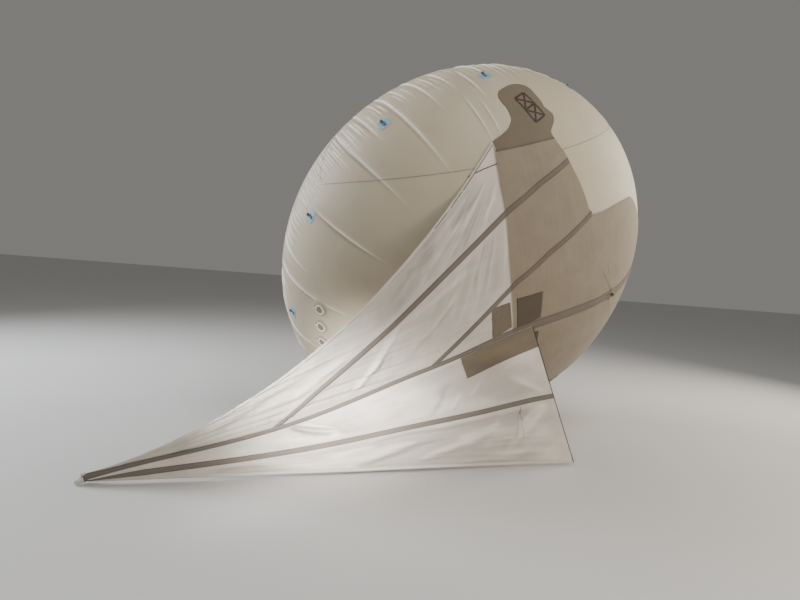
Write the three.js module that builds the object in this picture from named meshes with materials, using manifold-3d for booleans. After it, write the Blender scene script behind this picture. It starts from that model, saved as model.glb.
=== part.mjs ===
// Kite balloon: an oblate film envelope with a sewn kite glued to its underside, resting on its rim.
// Built in the kite's own frame (x to the nose, y to its left, z to the upper face, origin at the
// envelope's centre) in millimetres, then turned as one group into the resting pose.
import * as THREE from "three";
import { mergeVertices } from "three/addons/utils/BufferGeometryUtils.js";
import Module from "manifold-3d";

const wasm = await Module();
wasm.setup();

// Envelope
const RADIUS = 1900;
const HALF_DEPTH = 1372;
const FILM = 10;
const SEGMENTS = 48;
const ROUND = 32;
const RINGS_DEG = [0, 13, 26, 38, 49, 59, 68, 76, 82, 86.3, 90];
const SEAM_FLANGE = 18;
const SEAM_THICK = 5;
const GAP = 0.3;

// Resting pose, in degrees: the nose's heading, its rise, and the roll that lifts the right side
const HEADING = 23.2;
const NOSE_UP = 18.4;
const ROLL = -60.2;

// Kite, in flat pattern millimetres: p runs forward from the underside's pole, q runs out to the right
const TAIL = -3880;
const TAIL_Z = -1218;
const LIFT_OFF = -320;
const BEND = 20;
const SHOULDER_Q = 1780;
const EDGE_POWER = 1.95;
const TAIL_WIDTH = 45;
const TAIL_POWER = 4;
const TWIST_GAP = 1.3;
const TWIST_POWER = 8;
const FABRIC = 6;
const PANEL_LIFT = 2.4;
const PATCH_LIFT = 0.9;
const DOUBLER_LIFT = PANEL_LIFT + FABRIC + 0.9;
const DOUBLER_THICK = 3;
const SPINE_WIDTH = 60;
const SPINE_THICK = 10;
const STRIP_WIDTH = 45;
const HEM_WIDTH = 25;
const HEM_GAP = 0.9;
const SLIVER = 2;
const SPINE_START = 8;
const TIP_TAPER = 0.4;
const FREE_STEPS = 36;

// The middle line of the kite sags between the tail and the keel, and is pulled up at the keel's front
const SAG = { depth: -138, middle: -2400, reach: 1480 };
const PULL = { depth: 150, middle: 0, reachBack: 1200, reachFront: 1500 };

// Where the cloth on the envelope ends or turns, in p: at strips B and C, the nose, the shoulder's root
const FRONT_B = 385;
const FRONT_C = 520;
const NOSE_CORNER = 1260;
const NOSE_END = 1800;
const ROOT_REAR = -110;
const ROOT_FRONT = 300;

// Seams of the flat pattern as p, q corners on the right side; the left side mirrors them
const STRIP_B = [[-2505, -138], [-2092, 140], [-1420, 525], [LIFT_OFF, 1222], [BEND, 1376], [FRONT_B, 1490]];
const STRIP_C = [[-1121, 9], [LIFT_OFF, 610], [BEND, 798], [FRONT_C, 993]];
const SHOULDER_ROOT = [[LIFT_OFF, SHOULDER_Q - HEM_WIDTH - HEM_GAP], [ROOT_REAR, 1880], [ROOT_FRONT, 1740]];
const NOSE_SIDE = [[FRONT_C, 993], [600, 968], [NOSE_CORNER, 912], [1400, 815], [NOSE_END, 262]];

// Knots ahead of the lift-off line, and the steps up to each
const TO_ROOT = { inner: [BEND, FRONT_B], outer: [ROOT_REAR, ROOT_FRONT], steps: [3, 3] };
const TO_B = { inner: [BEND, FRONT_B], outer: [BEND, FRONT_B], steps: [3, 3] };
const TO_B_AND_C = { inner: [BEND, FRONT_C], outer: [BEND, FRONT_B], steps: [3, 4] };
const TO_C = { inner: [BEND, FRONT_C], outer: [BEND, FRONT_C], steps: [3, 4] };
const NOSE_KNOTS = [BEND, FRONT_C, NOSE_CORNER, NOSE_END];
const TO_NOSE = { inner: NOSE_KNOTS, outer: NOSE_KNOTS, steps: [3, 4, 8, 6] };

// Lobed patches: the two edges of each, from its root outwards
const SHOULDER_REAR = [[-110, 1882], [-56, 1940], [-44, 2020], [-62, 2130], [-40, 2212], [70, 2275]];
const SHOULDER_FRONT = [
  [300, 1742], [380, 1816], [434, 1905], [388, 1990], [386, 2100], [362, 2225], [300, 2284]];
const NOSE_LOBE = [[1802, 262], [1880, 215], [1960, 225], [2080, 262], [2200, 230], [2284, 110]];
const LOBE_STEPS = 8;

// Doublers, as the low and high corners of each in p and q, and the stitched box on the shoulder
const DOUBLERS = { rear: [[-545, 152], [-362, 440]], front: [[-305, 183], [-62, 468]] };
const STITCHED_BOX = { p: 212, q: 2018, width: 150, length: 270, turnDeg: 17, gap: 1 };

// Keel: its front end on the spine, its lower corner, and the share of its depth where the strip runs
const KEEL_FRONT = -155;
const KEEL_CORNER = [-42, 960, -2090];
const KEEL_THICK = 6;
const KEEL_CLEAR = 3.2;
const KEEL_STRIP_SHARE = 0.5;
const KEEL_STRIP_WIDTH = 45;
const KEEL_HEM = 30;
const KEEL_GAP = 0.7;
const KEEL_DOUBLER = { rear: -814, top: 14, foot: 190 };
const CORD = 5;
const TIE_P = 884;
const TIE = 16;

// Rim tabs and valves
const TAB_COUNT = 12;
const TAB_ARC = 2485;
const TAB_LENGTH = 110;
const TAB_WIDTH = 120;
const TAB_THICK = 4;
const VALVE_P = -2056;
const VALVE_Q = [303, 95, -113];

const MATERIALS = {
  film: { color: 0xe6dfcd, roughness: 0.35, metalness: 0 },
  sail: { color: 0xe4e1de, roughness: 0.8, metalness: 0 },
  strip: { color: 0xa79f95, roughness: 0.85, metalness: 0 },
  tab: { color: 0xa9d3ea, roughness: 0.6, metalness: 0 },
  valve: { color: 0xe9e6dc, roughness: 0.4, metalness: 0 },
  cord: { color: 0x2b2d33, roughness: 0.8, metalness: 0 },
};

const kite = new THREE.Group();
const [roll, pitch, heading] = [ROLL, -NOSE_UP, HEADING].map(THREE.MathUtils.degToRad);
kite.rotation.set(roll, pitch, heading, "ZYX");

function add(name, geometry, kind) {
  const mesh = new THREE.Mesh(faceOut(geometry), new THREE.MeshStandardMaterial(MATERIALS[kind]));
  mesh.name = name;
  kite.add(mesh);
  return mesh;
}

// Turns the triangles of a closed geometry round if its faces point inwards.
function faceOut(geometry) {
  const bare = geometry.clone();
  bare.deleteAttribute("normal");
  bare.deleteAttribute("uv");
  const merged = mergeVertices(bare, 1e-3);
  const position = merged.attributes.position;
  const old = merged.index.array;
  const kept = [];
  const corner = [new THREE.Vector3(), new THREE.Vector3(), new THREE.Vector3()];
  let volume = 0;
  for (let i = 0; i < old.length; i += 3) {
    const [a, b, c] = [old[i], old[i + 1], old[i + 2]];
    if (a === b || b === c || c === a) continue;
    kept.push(a, b, c);
    [a, b, c].forEach((index, k) => corner[k].fromBufferAttribute(position, index));
    volume += corner[0].dot(corner[1].clone().cross(corner[2]));
  }
  if (volume < 0) {
    for (let i = 0; i < kept.length; i += 3) [kept[i], kept[i + 1]] = [kept[i + 1], kept[i]];
  }
  merged.setIndex(kept);
  return merged;
}

function toSolid(geometry) {
  const closed = faceOut(geometry);
  return new wasm.Manifold(new wasm.Mesh({
    numProp: 3,
    vertProperties: new Float32Array(closed.attributes.position.array),
    triVerts: new Uint32Array(closed.index.array),
  }));
}

function toGeometry(solid) {
  const mesh = solid.getMesh();
  const geometry = new THREE.BufferGeometry();
  geometry.setAttribute("position", new THREE.BufferAttribute(new Float32Array(mesh.vertProperties), 3));
  geometry.setIndex(new THREE.BufferAttribute(new Uint32Array(mesh.triVerts), 1));
  return geometry;
}

// Arc length along the envelope's profile from the pole, tabulated for the angle that gives it.
const ARC_STEPS = 400;
const arcTable = [0];
for (let i = 1; i <= ARC_STEPS; i += 1) {
  const mid = ((i - 0.5) / ARC_STEPS) * (Math.PI / 2);
  const rate = Math.hypot(RADIUS * Math.cos(mid), HALF_DEPTH * Math.sin(mid));
  arcTable.push(arcTable[i - 1] + (rate * Math.PI) / 2 / ARC_STEPS);
}

function angleAtArc(arc) {
  let i = 1;
  while (i < ARC_STEPS && arcTable[i] < arc) i += 1;
  const part = (arc - arcTable[i - 1]) / (arcTable[i] - arcTable[i - 1]);
  return ((i - 1 + part) / ARC_STEPS) * (Math.PI / 2);
}

// A point of the underside at an arc from the pole and an azimuth from the nose towards the right,
// raised along its normal.
function onUnderside(arc, azimuth, height) {
  const angle = angleAtArc(arc);
  const [s, c] = [Math.sin(angle), Math.cos(angle)];
  const [x, y] = [s * Math.cos(azimuth), -s * Math.sin(azimuth)];
  const normal = new THREE.Vector3(x / RADIUS, y / RADIUS, -c / HALF_DEPTH).normalize();
  return new THREE.Vector3(RADIUS * x, RADIUS * y, -HALF_DEPTH * c).addScaledVector(normal, height);
}

const tailTip = new THREE.Vector3(TAIL, 0, TAIL_Z);

// The kite's surface over its flat pattern: on the envelope ahead of the lift-off line, and behind
// it ruled from that line to the tail tip.
function sail(p, q) {
  if (p >= LIFT_OFF) return onUnderside(Math.hypot(p, q), Math.atan2(q, p), 0);
  const t = (p - TAIL) / (LIFT_OFF - TAIL);
  const edge = q / t;
  const line = onUnderside(Math.hypot(LIFT_OFF, edge), Math.atan2(edge, LIFT_OFF), 0);
  return tailTip.clone().lerp(line, t);
}

const STEP = 4;
function raised(p, q, height) {
  const along = sail(p + STEP, q).sub(sail(p - STEP, q));
  const across = sail(p, q + STEP).sub(sail(p, q - STEP));
  const normal = along.cross(across).normalize();
  return sail(p, q).addScaledVector(normal, height);
}

// A thin solid over a grid: point(s, w, k) maps the unit cube, k running through the thickness.
function gridSolid(point, alongSteps, acrossSteps) {
  const geometry = new THREE.BoxGeometry(1, 1, 1, alongSteps, acrossSteps, 1);
  const position = geometry.attributes.position;
  for (let i = 0; i < position.count; i += 1) {
    const at = point(position.getX(i) + 0.5, position.getY(i) + 0.5, position.getZ(i) + 0.5);
    position.setXYZ(i, at.x, at.y, at.z);
  }
  return geometry;
}

const flat = (p, q) => new THREE.Vector2(p, q);
// The kite's stations behind the lift-off line, which every piece there shares
const STATIONS = Array.from({ length: FREE_STEPS + 1 }, (_, i) =>
  THREE.MathUtils.lerp(TAIL, LIFT_OFF, i / FREE_STEPS));
const stationsFrom = (start) => [start, ...STATIONS.filter((p) => p > start + 1)];

// Points on an edge: at the stations behind the lift-off line, then in even steps between knots.
function edge(start, knots, steps, q) {
  const points = stationsFrom(start);
  steps.forEach((count, span) => {
    const from = span === 0 ? LIFT_OFF : knots[span - 1];
    for (let i = 1; i <= count; i += 1) points.push(THREE.MathUtils.lerp(from, knots[span], i / count));
  });
  return points.map((p) => flat(p, q(p)));
}

// q at p on a line of corners.
function along(corners, p) {
  let i = 1;
  while (i < corners.length - 1 && corners[i][0] < p) i += 1;
  const [[p0, q0], [p1, q1]] = [corners[i - 1], corners[i]];
  return q0 + ((q1 - q0) * (p - p0)) / (p1 - p0);
}

// Half a strip's width measured along q where the strip slants.
function halfAcross(corners, p, width) {
  const slope = along(corners, p + 1) - along(corners, p);
  return (width / 2) * Math.hypot(1, slope);
}

// A solid of cloth between two edges with the same number of points, on the right side (1) or the left (-1).
function cloth(inner, outer, side, acrossSteps, lift, thick) {
  const count = inner.length - 1;
  return gridSolid((s, w, k) => {
    const i = Math.round(s * count);
    const at = inner[i].clone().lerp(outer[i], w);
    return raised(at.x, at.y * side, lift + thick * k);
  }, count, acrossSteps);
}

const bump = (x) => (Math.abs(x) < 1 ? 0.5 + 0.5 * Math.cos(Math.PI * x) : 0);
function spineCurve(p) {
  const reach = p < PULL.middle ? PULL.reachBack : PULL.reachFront;
  return SAG.depth * bump((p - SAG.middle) / SAG.reach) + PULL.depth * bump((p - PULL.middle) / reach);
}

// The middle line, straight between the stations behind the lift-off line
function spineQ(p) {
  if (p >= LIFT_OFF || p <= TAIL) return spineCurve(p);
  const place = ((p - TAIL) / (LIFT_OFF - TAIL)) * FREE_STEPS;
  const i = Math.min(FREE_STEPS - 1, Math.floor(place));
  return THREE.MathUtils.lerp(spineCurve(STATIONS[i]), spineCurve(STATIONS[i + 1]), place - i);
}

// The envelope: two bowls of film that meet at the rim, and the welded seam between them
const rings = RINGS_DEG.map((deg) => THREE.MathUtils.degToRad(deg));
function bowl(sign) {
  const outside = rings.map((a) => new THREE.Vector2(
    RADIUS * Math.sin(a), sign * Math.max(GAP / 2, HALF_DEPTH * Math.cos(a))));
  const inside = rings.map((a) => new THREE.Vector2(
    (RADIUS - FILM) * Math.sin(a), sign * Math.max(GAP / 2, (HALF_DEPTH - FILM) * Math.cos(a))));
  outside[0].x = 0;
  inside[0].x = 0;
  return new THREE.LatheGeometry([...outside, ...inside.reverse()], SEGMENTS).rotateX(Math.PI / 2);
}
add("envelope_top", bowl(1), "film");

// A valve's own frame: origin on the film, x towards the rim where the hinge is, z out of the film.
// The lid rests in the flange's recess, and a pocket lets its arm through the flange's rim.
const HOLE = 34;
const BORE = 24;
const FLANGE = 64;
const RECESS = 48;
const FLANGE_BASE = 0.5;
const RECESS_TOP = 6.5;
const FLANGE_TOP = 8;
const NECK_DEPTH = 26;
const BITE = 1;
const LID = 46;
const LID_BASE = RECESS_TOP + 0.5;
const LID_TOP = LID_BASE + 6;
const HINGE_X = 56;
const HINGE_Z = 15;
const PIN = 2.5;
const KNUCKLE = 5.5;
const KNUCKLE_HALF = 8;
const EAR = { inner: 9, outer: 13, rear: HINGE_X - 6, front: HINGE_X + 5, top: HINGE_Z + 5 };
const ARM = { rear: LID - 6, front: HINGE_X - PIN - 1 };
const POCKET_HALF = 14;
const DRILL_LENGTH = 120;

function valveMatrix(q) {
  const arc = Math.hypot(VALVE_P, q);
  const azimuth = Math.atan2(q, VALVE_P);
  const origin = onUnderside(arc, azimuth, 0);
  const normal = onUnderside(arc, azimuth, 1).sub(origin).normalize();
  const outward = onUnderside(arc + STEP, azimuth, 0).sub(origin);
  outward.addScaledVector(normal, -outward.dot(normal)).normalize();
  const across = normal.clone().cross(outward);
  return new THREE.Matrix4().makeBasis(outward, across, normal).setPosition(origin);
}

function box(low, high) {
  const size = high.map((value, i) => value - low[i]);
  const middle = high.map((value, i) => (value + low[i]) / 2);
  return new THREE.BoxGeometry(...size).translate(...middle);
}

function ring(inner, outer, low, high, segments = ROUND) {
  return new THREE.LatheGeometry(
    [[inner, low], [outer, low], [outer, high], [inner, high], [inner, low]]
      .map(([r, z]) => new THREE.Vector2(r, z)), segments).rotateX(Math.PI / 2);
}

const alongHinge = (geometry) => geometry.translate(HINGE_X, 0, HINGE_Z);

function valveFlange() {
  const pocket = box([ARM.rear, -POCKET_HALF, RECESS_TOP], [FLANGE + BITE, POCKET_HALF, FLANGE_TOP + BITE]);
  let shape = toSolid(ring(BORE, FLANGE, FLANGE_BASE, RECESS_TOP))
    .add(toSolid(ring(BORE, HOLE, -NECK_DEPTH, FLANGE_BASE + BITE)))
    .add(toSolid(ring(RECESS, FLANGE, RECESS_TOP - BITE, FLANGE_TOP)).subtract(toSolid(pocket)));
  for (const side of [-1, 1]) {
    const [low, high] = [side * EAR.inner, side * EAR.outer].sort((a, b) => a - b);
    shape = shape.add(toSolid(box([EAR.rear, low, RECESS_TOP - BITE], [EAR.front, high, EAR.top])));
  }
  const pinLength = 2 * (EAR.inner + BITE);
  return shape.add(toSolid(alongHinge(new THREE.CylinderGeometry(PIN, PIN, pinLength, 12))));
}

function valveLid() {
  const disc = new THREE.CylinderGeometry(LID, LID, LID_TOP - LID_BASE, ROUND).rotateX(Math.PI / 2)
    .translate(0, 0, (LID_BASE + LID_TOP) / 2);
  const arm = box([ARM.rear, -KNUCKLE_HALF, LID_BASE], [ARM.front, KNUCKLE_HALF, LID_TOP]);
  const shape = new THREE.Shape();
  shape.absarc(0, 0, KNUCKLE, 0, 2 * Math.PI);
  const hole = new THREE.Path();
  hole.absarc(0, 0, PIN + GAP, 0, 2 * Math.PI, true);
  shape.holes.push(hole);
  const knuckle = new THREE.ExtrudeGeometry(
    shape, { depth: 2 * KNUCKLE_HALF, bevelEnabled: false, curveSegments: 10 })
    .translate(0, 0, -KNUCKLE_HALF).rotateX(Math.PI / 2);
  return toSolid(disc).add(toSolid(arm)).add(toSolid(alongHinge(knuckle)));
}

let underside = toSolid(bowl(-1));
VALVE_Q.forEach((q, i) => {
  const place = valveMatrix(q);
  const drill = new THREE.CylinderGeometry(HOLE + GAP, HOLE + GAP, DRILL_LENGTH, ROUND).rotateX(Math.PI / 2);
  underside = underside.subtract(toSolid(drill.applyMatrix4(place)));
  add(`valve_flange_${i + 1}`, toGeometry(valveFlange()).applyMatrix4(place), "valve");
  add(`valve_lid_${i + 1}`, toGeometry(valveLid()).applyMatrix4(place), "valve");
});
add("envelope_underside", toGeometry(underside), "film");
add("rim_seam", ring(RADIUS + GAP, RADIUS + SEAM_FLANGE, -SEAM_THICK / 2, SEAM_THICK / 2, SEGMENTS), "film");

// Handling tabs round the rim, on the underside film
for (let i = 0; i < TAB_COUNT; i += 1) {
  const azimuth = (i / TAB_COUNT) * 2 * Math.PI;
  const spread = TAB_WIDTH / RADIUS;
  const tab = gridSolid((s, w, k) => onUnderside(
    TAB_ARC + (s - 0.5) * TAB_LENGTH, azimuth + (w - 0.5) * spread, PATCH_LIFT + TAB_THICK * k), 2, 2);
  add(`rim_tab_${String(i + 1).padStart(2, "0")}`, tab, "tab");
}

// The wings: each side has three panels, two strips between them and a hem on the free edge
const fromTail = (p) => (p - TAIL) / (LIFT_OFF - TAIL);
const freeEdge = (p) =>
  SHOULDER_Q * fromTail(p) ** EDGE_POWER + TAIL_WIDTH * (1 - fromTail(p)) ** TAIL_POWER;
// The twist of the cloth near the tail needs a wider gap beside the spine there
const spineGap = (p) => GAP + TWIST_GAP * Math.max(0, 1 - fromTail(p)) ** TWIST_POWER;
const besideSpine = (side) => (p) => side * spineQ(p) + SPINE_WIDTH / 2 + spineGap(p);
const SEARCH_PARTS = 20;

// The p from which a piece between two edges has some width all the way to the lift-off line
function firstP(inner, outer) {
  const at = (i) => THREE.MathUtils.lerp(TAIL, LIFT_OFF, i / SEARCH_PARTS / FREE_STEPS);
  const hasWidth = (p) => outer(p) >= inner(p) + SLIVER;
  let i = FREE_STEPS * SEARCH_PARTS;
  while (i > SEARCH_PARTS && hasWidth(at(i - 1))) i -= 1;
  return at(i);
}

// Beside a strip's line on its outer side (1) or inner side (-1)
const stripSide = (corners, sign, extra) => (p) =>
  along(corners, p) + sign * (halfAcross(corners, p, STRIP_WIDTH) + extra);
const insideHem = (p) => freeEdge(p) - HEM_WIDTH - HEM_GAP;
const toCurve = (corners) => new THREE.SplineCurve(corners.map((corner) => flat(...corner)));
const fractions = (count) => Array.from({ length: count + 1 }, (_, i) => i / count);

for (const [word, side] of [["right", 1], ["left", -1]]) {
  const inside = besideSpine(side);
  const clear = (q) => (p) => Math.max(inside(p), q(p));
  const panels = [
    { name: "wing_outer_panel", inner: stripSide(STRIP_B, 1, GAP), outer: insideHem,
      knots: TO_ROOT, outerRoot: SHOULDER_ROOT, across: 6 },
    { name: "wing_middle_panel", inner: stripSide(STRIP_C, 1, GAP), outer: stripSide(STRIP_B, -1, GAP),
      knots: TO_B_AND_C, across: 6 },
    { name: "wing_inner_panel", inner: inside, outer: stripSide(STRIP_C, -1, GAP),
      knots: TO_NOSE, outerNose: NOSE_SIDE, across: 7 },
    { name: "strip_b", inner: stripSide(STRIP_B, -1, 0), outer: stripSide(STRIP_B, 1, 0),
      knots: TO_B, across: 1 },
    { name: "strip_c", inner: stripSide(STRIP_C, -1, 0), outer: stripSide(STRIP_C, 1, 0),
      knots: TO_C, across: 1 },
  ];
  for (const row of panels) {
    const start = firstP(clear(row.inner), row.outer);
    const outer = (p) => {
      if (row.outerRoot && p >= LIFT_OFF) return along(row.outerRoot, p) - GAP;
      if (row.outerNose && p > row.outerNose[0][0]) return along(row.outerNose, p) - GAP;
      return row.outer(p);
    };
    const kind = row.name.startsWith("strip") ? "strip" : "sail";
    add(`${row.name}_${word}`, cloth(
      edge(start, row.knots.inner, row.knots.steps, clear(row.inner)),
      edge(start, row.knots.outer, row.knots.steps, outer),
      side, row.across, PANEL_LIFT, FABRIC), kind);
  }

  const hemStart = firstP(inside, freeEdge);
  add(`wing_hem_${word}`, cloth(
    edge(hemStart, [], [], clear((p) => freeEdge(p) - HEM_WIDTH)),
    edge(hemStart, [], [], freeEdge), side, 1, PANEL_LIFT, FABRIC), "sail");

  add(`shoulder_patch_${word}`, cloth(
    toCurve(SHOULDER_REAR).getPoints(LOBE_STEPS), toCurve(SHOULDER_FRONT).getPoints(LOBE_STEPS),
    side, 6, PATCH_LIFT, FABRIC), "sail");

  const boxMiddle = flat(STITCHED_BOX.p, STITCHED_BOX.q);
  const boxTurn = THREE.MathUtils.degToRad(STITCHED_BOX.turnDeg);
  const boxSide = (sign) => fractions(4).map((share) => flat(
    (sign * STITCHED_BOX.width) / 2, (share - 0.5) * STITCHED_BOX.length)
    .rotateAround(flat(0, 0), boxTurn).add(boxMiddle));
  add(`shoulder_box_${word}`, cloth(boxSide(-1), boxSide(1), side, 3,
    PATCH_LIFT + FABRIC + STITCHED_BOX.gap, DOUBLER_THICK), "strip");

  for (const [place, [low, high]] of Object.entries(DOUBLERS)) {
    const rows = fractions(2).map((share) => THREE.MathUtils.lerp(low[0], high[0], share));
    const doublerSide = (q) => rows.map((p) => flat(p, q));
    add(`doubler_${place}_${word}`, cloth(
      doublerSide(low[1]), doublerSide(high[1]), side, 4, DOUBLER_LIFT, DOUBLER_THICK), "strip");
  }
}

const noseLobe = toCurve(NOSE_LOBE).getPoints(LOBE_STEPS);
add("nose_patch", cloth(
  noseLobe.map((at) => flat(at.x, -at.y)), noseLobe, 1, 7, PATCH_LIFT, FABRIC), "sail");

// The spine strip on the middle line, narrowing to the tail tip
const spineHalf = (p) => Math.min(SPINE_WIDTH / 2, TIP_TAPER * (p - TAIL));
const spineSide = (sign) => edge(
  TAIL + SPINE_START, TO_NOSE.inner, TO_NOSE.steps, (p) => spineQ(p) + sign * spineHalf(p));
add("spine_strip", cloth(spineSide(-1), spineSide(1), 1, 1, PANEL_LIFT, SPINE_THICK), "strip");

// The keel is ruled from the spine strip's underside to a straight foot from the tail tip to its corner
const keelCorner = new THREE.Vector3(...KEEL_CORNER);
const footLine = keelCorner.clone().sub(tailTip);

function keelRule(p) {
  const top = raised(p, spineQ(p), PANEL_LIFT + SPINE_THICK + KEEL_CLEAR);
  const foot = tailTip.clone().addScaledVector(footLine, (p - TAIL) / (KEEL_FRONT - TAIL));
  return { top, foot, down: foot.clone().sub(top) };
}

const keelDepth = (p) => keelRule(p).down.length();

// A point at p along the spine and a depth below it, lifted off the keel's middle plane to its right
function onKeel(p, depth, lift) {
  const { top, foot, down } = keelRule(p);
  const face = down.clone().cross(footLine).normalize();
  return top.lerp(foot, depth / down.length()).addScaledVector(face, lift);
}

function keelPiece(places, high, low, acrossSteps, lift, thick) {
  return gridSolid((s, w, k) => {
    const p = places[Math.round(s * (places.length - 1))];
    return onKeel(p, THREE.MathUtils.lerp(high(p), low(p), w), lift + thick * k);
  }, places.length - 1, acrossSteps);
}

const keelPlaces = (start) => edge(start, [KEEL_FRONT], [3], () => 0).map((at) => at.x);
const stripEdge = (sign, extra) => (p) =>
  keelDepth(p) * KEEL_STRIP_SHARE + sign * (KEEL_STRIP_WIDTH / 2 + extra);
const hemTop = (p) => Math.max(keelDepth(p) - KEEL_HEM, stripEdge(1, KEEL_GAP)(p));
const middleStart = firstP(() => 0, stripEdge(-1, KEEL_GAP));
const keelParts = [
  { name: "keel_upper_panel", high: () => 0, low: stripEdge(-1, KEEL_GAP), rows: 3 },
  { name: "keel_strip", high: stripEdge(-1, 0), low: stripEdge(1, 0), rows: 1 },
  { name: "keel_lower_panel", high: stripEdge(1, KEEL_GAP), low: (p) => hemTop(p) - KEEL_GAP, rows: 3 },
  { name: "keel_hem", high: hemTop, low: keelDepth, rows: 1 },
];
for (const row of keelParts) {
  const places = keelPlaces(Math.max(firstP(row.high, row.low), middleStart));
  const kind = row.name === "keel_strip" ? "strip" : "sail";
  add(row.name, keelPiece(places, row.high, row.low, row.rows, -KEEL_THICK / 2, KEEL_THICK), kind);
}
add("keel_doubler", keelPiece(
  keelPlaces(KEEL_DOUBLER.rear), () => KEEL_DOUBLER.top, () => KEEL_DOUBLER.foot,
  1, KEEL_THICK / 2 + GAP, DOUBLER_THICK), "strip");

const cordP = KEEL_FRONT + CORD + GAP;
const cordCurve = new THREE.LineCurve3(onKeel(cordP, CORD * 2, 0), onKeel(cordP, keelDepth(cordP), 0));
const cordShape = new THREE.Shape();
cordShape.absarc(0, 0, CORD, 0, 2 * Math.PI);
add("keel_front_cord", new THREE.ExtrudeGeometry(cordShape,
  { steps: 8, extrudePath: cordCurve, bevelEnabled: false, curveSegments: 4 }), "cord");

const tieAt = raised(TIE_P, spineQ(TIE_P), PANEL_LIFT + SPINE_THICK + GAP + TIE);
add("nose_tie", new THREE.SphereGeometry(TIE, 12, 8).translate(tieAt.x, tieAt.y, tieAt.z), "cord");

const group = new THREE.Group();
group.add(kite);
export default group;
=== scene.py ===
"""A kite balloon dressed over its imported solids: creased film, a sewn kite with its keel, tabs and valves.

The kite's cloth is laid out on a flat pattern in metres: p runs forward from the underside's pole to the
nose, q runs out to the kite's right. Everything is shaped in the kite's own frame and then turned into
the resting pose.
"""

import math

import bmesh
import bpy
import numpy as np
from mathutils import Matrix, Vector


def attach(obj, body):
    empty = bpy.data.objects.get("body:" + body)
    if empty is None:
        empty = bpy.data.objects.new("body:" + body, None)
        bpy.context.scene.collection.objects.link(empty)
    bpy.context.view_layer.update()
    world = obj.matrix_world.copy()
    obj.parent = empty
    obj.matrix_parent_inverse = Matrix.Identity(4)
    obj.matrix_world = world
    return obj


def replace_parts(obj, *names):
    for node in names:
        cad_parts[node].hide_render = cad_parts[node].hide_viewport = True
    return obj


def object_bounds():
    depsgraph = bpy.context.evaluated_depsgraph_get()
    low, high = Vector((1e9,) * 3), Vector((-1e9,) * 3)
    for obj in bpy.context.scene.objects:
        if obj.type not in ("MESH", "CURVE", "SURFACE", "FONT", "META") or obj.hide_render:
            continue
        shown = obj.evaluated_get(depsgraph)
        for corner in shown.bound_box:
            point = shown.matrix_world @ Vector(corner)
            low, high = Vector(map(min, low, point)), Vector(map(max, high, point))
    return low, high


bl_info = {
    "name": "Kite balloon",
    "version": (1, 0, 0),
    "blender": (4, 5, 0),
    "location": "3D View > Sidebar > Kite balloon",
    "description": "Film envelope, sewn kite and keel, tabs, valves and cords over the balloon's solids",
    "category": "Object",
}

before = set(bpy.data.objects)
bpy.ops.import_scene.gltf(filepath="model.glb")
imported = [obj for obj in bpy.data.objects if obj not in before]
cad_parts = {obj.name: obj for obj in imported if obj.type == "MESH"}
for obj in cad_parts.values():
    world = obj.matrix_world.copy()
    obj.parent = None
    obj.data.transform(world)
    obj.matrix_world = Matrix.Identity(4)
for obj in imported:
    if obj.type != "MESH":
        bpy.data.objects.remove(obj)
CAD_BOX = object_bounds()
BODY = "balloon"
SEED = 7

# The envelope's radius and half its thickness in metres, and its resting pose in degrees
RADIUS = 1.9
HALF_DEPTH = 1.372
HEADING = 23.2
NOSE_UP = 18.4
ROLL = -60.2
# The kite: its tail tip as p and height, where it leaves the film as p, and the curve of its free edge
TAIL = -3.88
TAIL_Z = -1.218
LIFT_OFF = -0.32
SHOULDER_Q = 1.78
EDGE_POWER = 1.95
TAIL_WIDTH = 0.045
TAIL_POWER = 4
# The middle line's sideways sag (depth, place, reach) and pull (height, reach behind, reach ahead)
SAG = (-0.138, -2.400, 1.480)
PULL = (0.150, 1.200, 1.500)
# The keel's rear end and front edge as p, its front corner in the kite's own frame, and half its strip
KEEL_START = TAIL + 0.09
KEEL_FRONT = -0.155
KEEL_CORNER = (-0.042, 0.960, -2.090)
KEEL_STRIP_HALF = 0.0225
# Heights of the cloth and of the keel's upper edge over the film, and of folds that count as full crests,
# where the painted fold highlight and shade are full
CLOTH_LIFT = 0.0055
KEEL_LIFT = 0.0156
SAIL_CREST = 0.012
KEEL_CREST = 0.010
# How far out the free cloth may reach where it leaves the film, and the widest ray with folds
REACH_LIMIT = 2.4
RAY_LIMIT = 3.0
# Step along the pattern that slopes are taken over
NORMAL_STEP = 0.004
# Half the width that stitch rows are drawn for on a strip's own pattern
PATTERN_HALF = 0.0225
WING_SIDES = (("right", 1), ("left", -1))

# Seams of the flat pattern as p, q corners
STRIP_B = (
    (-2.505, -0.138), (-2.092, 0.140), (-1.420, 0.525), (-0.320, 1.222), (0.020, 1.376), (0.385, 1.490))
STRIP_C = ((-1.121, 0.009), (-0.320, 0.610), (0.020, 0.798), (0.520, 0.993))
NOSE_SIDE = (
    (0.520, 0.993), (0.572, 0.976), (0.700, 0.960), (0.924, 0.952), (1.084, 0.936), (1.260, 0.912),
    (1.340, 0.864), (1.436, 0.768), (1.800, 0.262))
# Front edge of the cloth on the film from strip C to the shoulder, as q, p
FRONT_EDGE = (
    (0.993, 0.545), (1.048, 0.502), (1.130, 0.486), (1.224, 0.468), (1.312, 0.444), (1.400, 0.412),
    (1.488, 0.388), (1.568, 0.364), (1.616, 0.340), (1.680, 0.316), (1.720, 0.303))
# Where the cloth's painted shade begins, turning it darker, close behind the line where it meets the film, as
# q, p
MEETS_FILM = (
    (0.000, -0.335), (0.152, -0.340), (0.528, -0.372), (0.824, -0.380), (1.192, -0.364), (1.400, -0.364),
    (1.592, -0.348), (1.776, -0.316))
# q where the two strips end on that front edge, and q of the seam to the shoulder's cloth
STRIP_B_FRONT = 1.488
STRIP_C_FRONT = 0.993
SHOULDER_SEAM = 1.700
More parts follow.
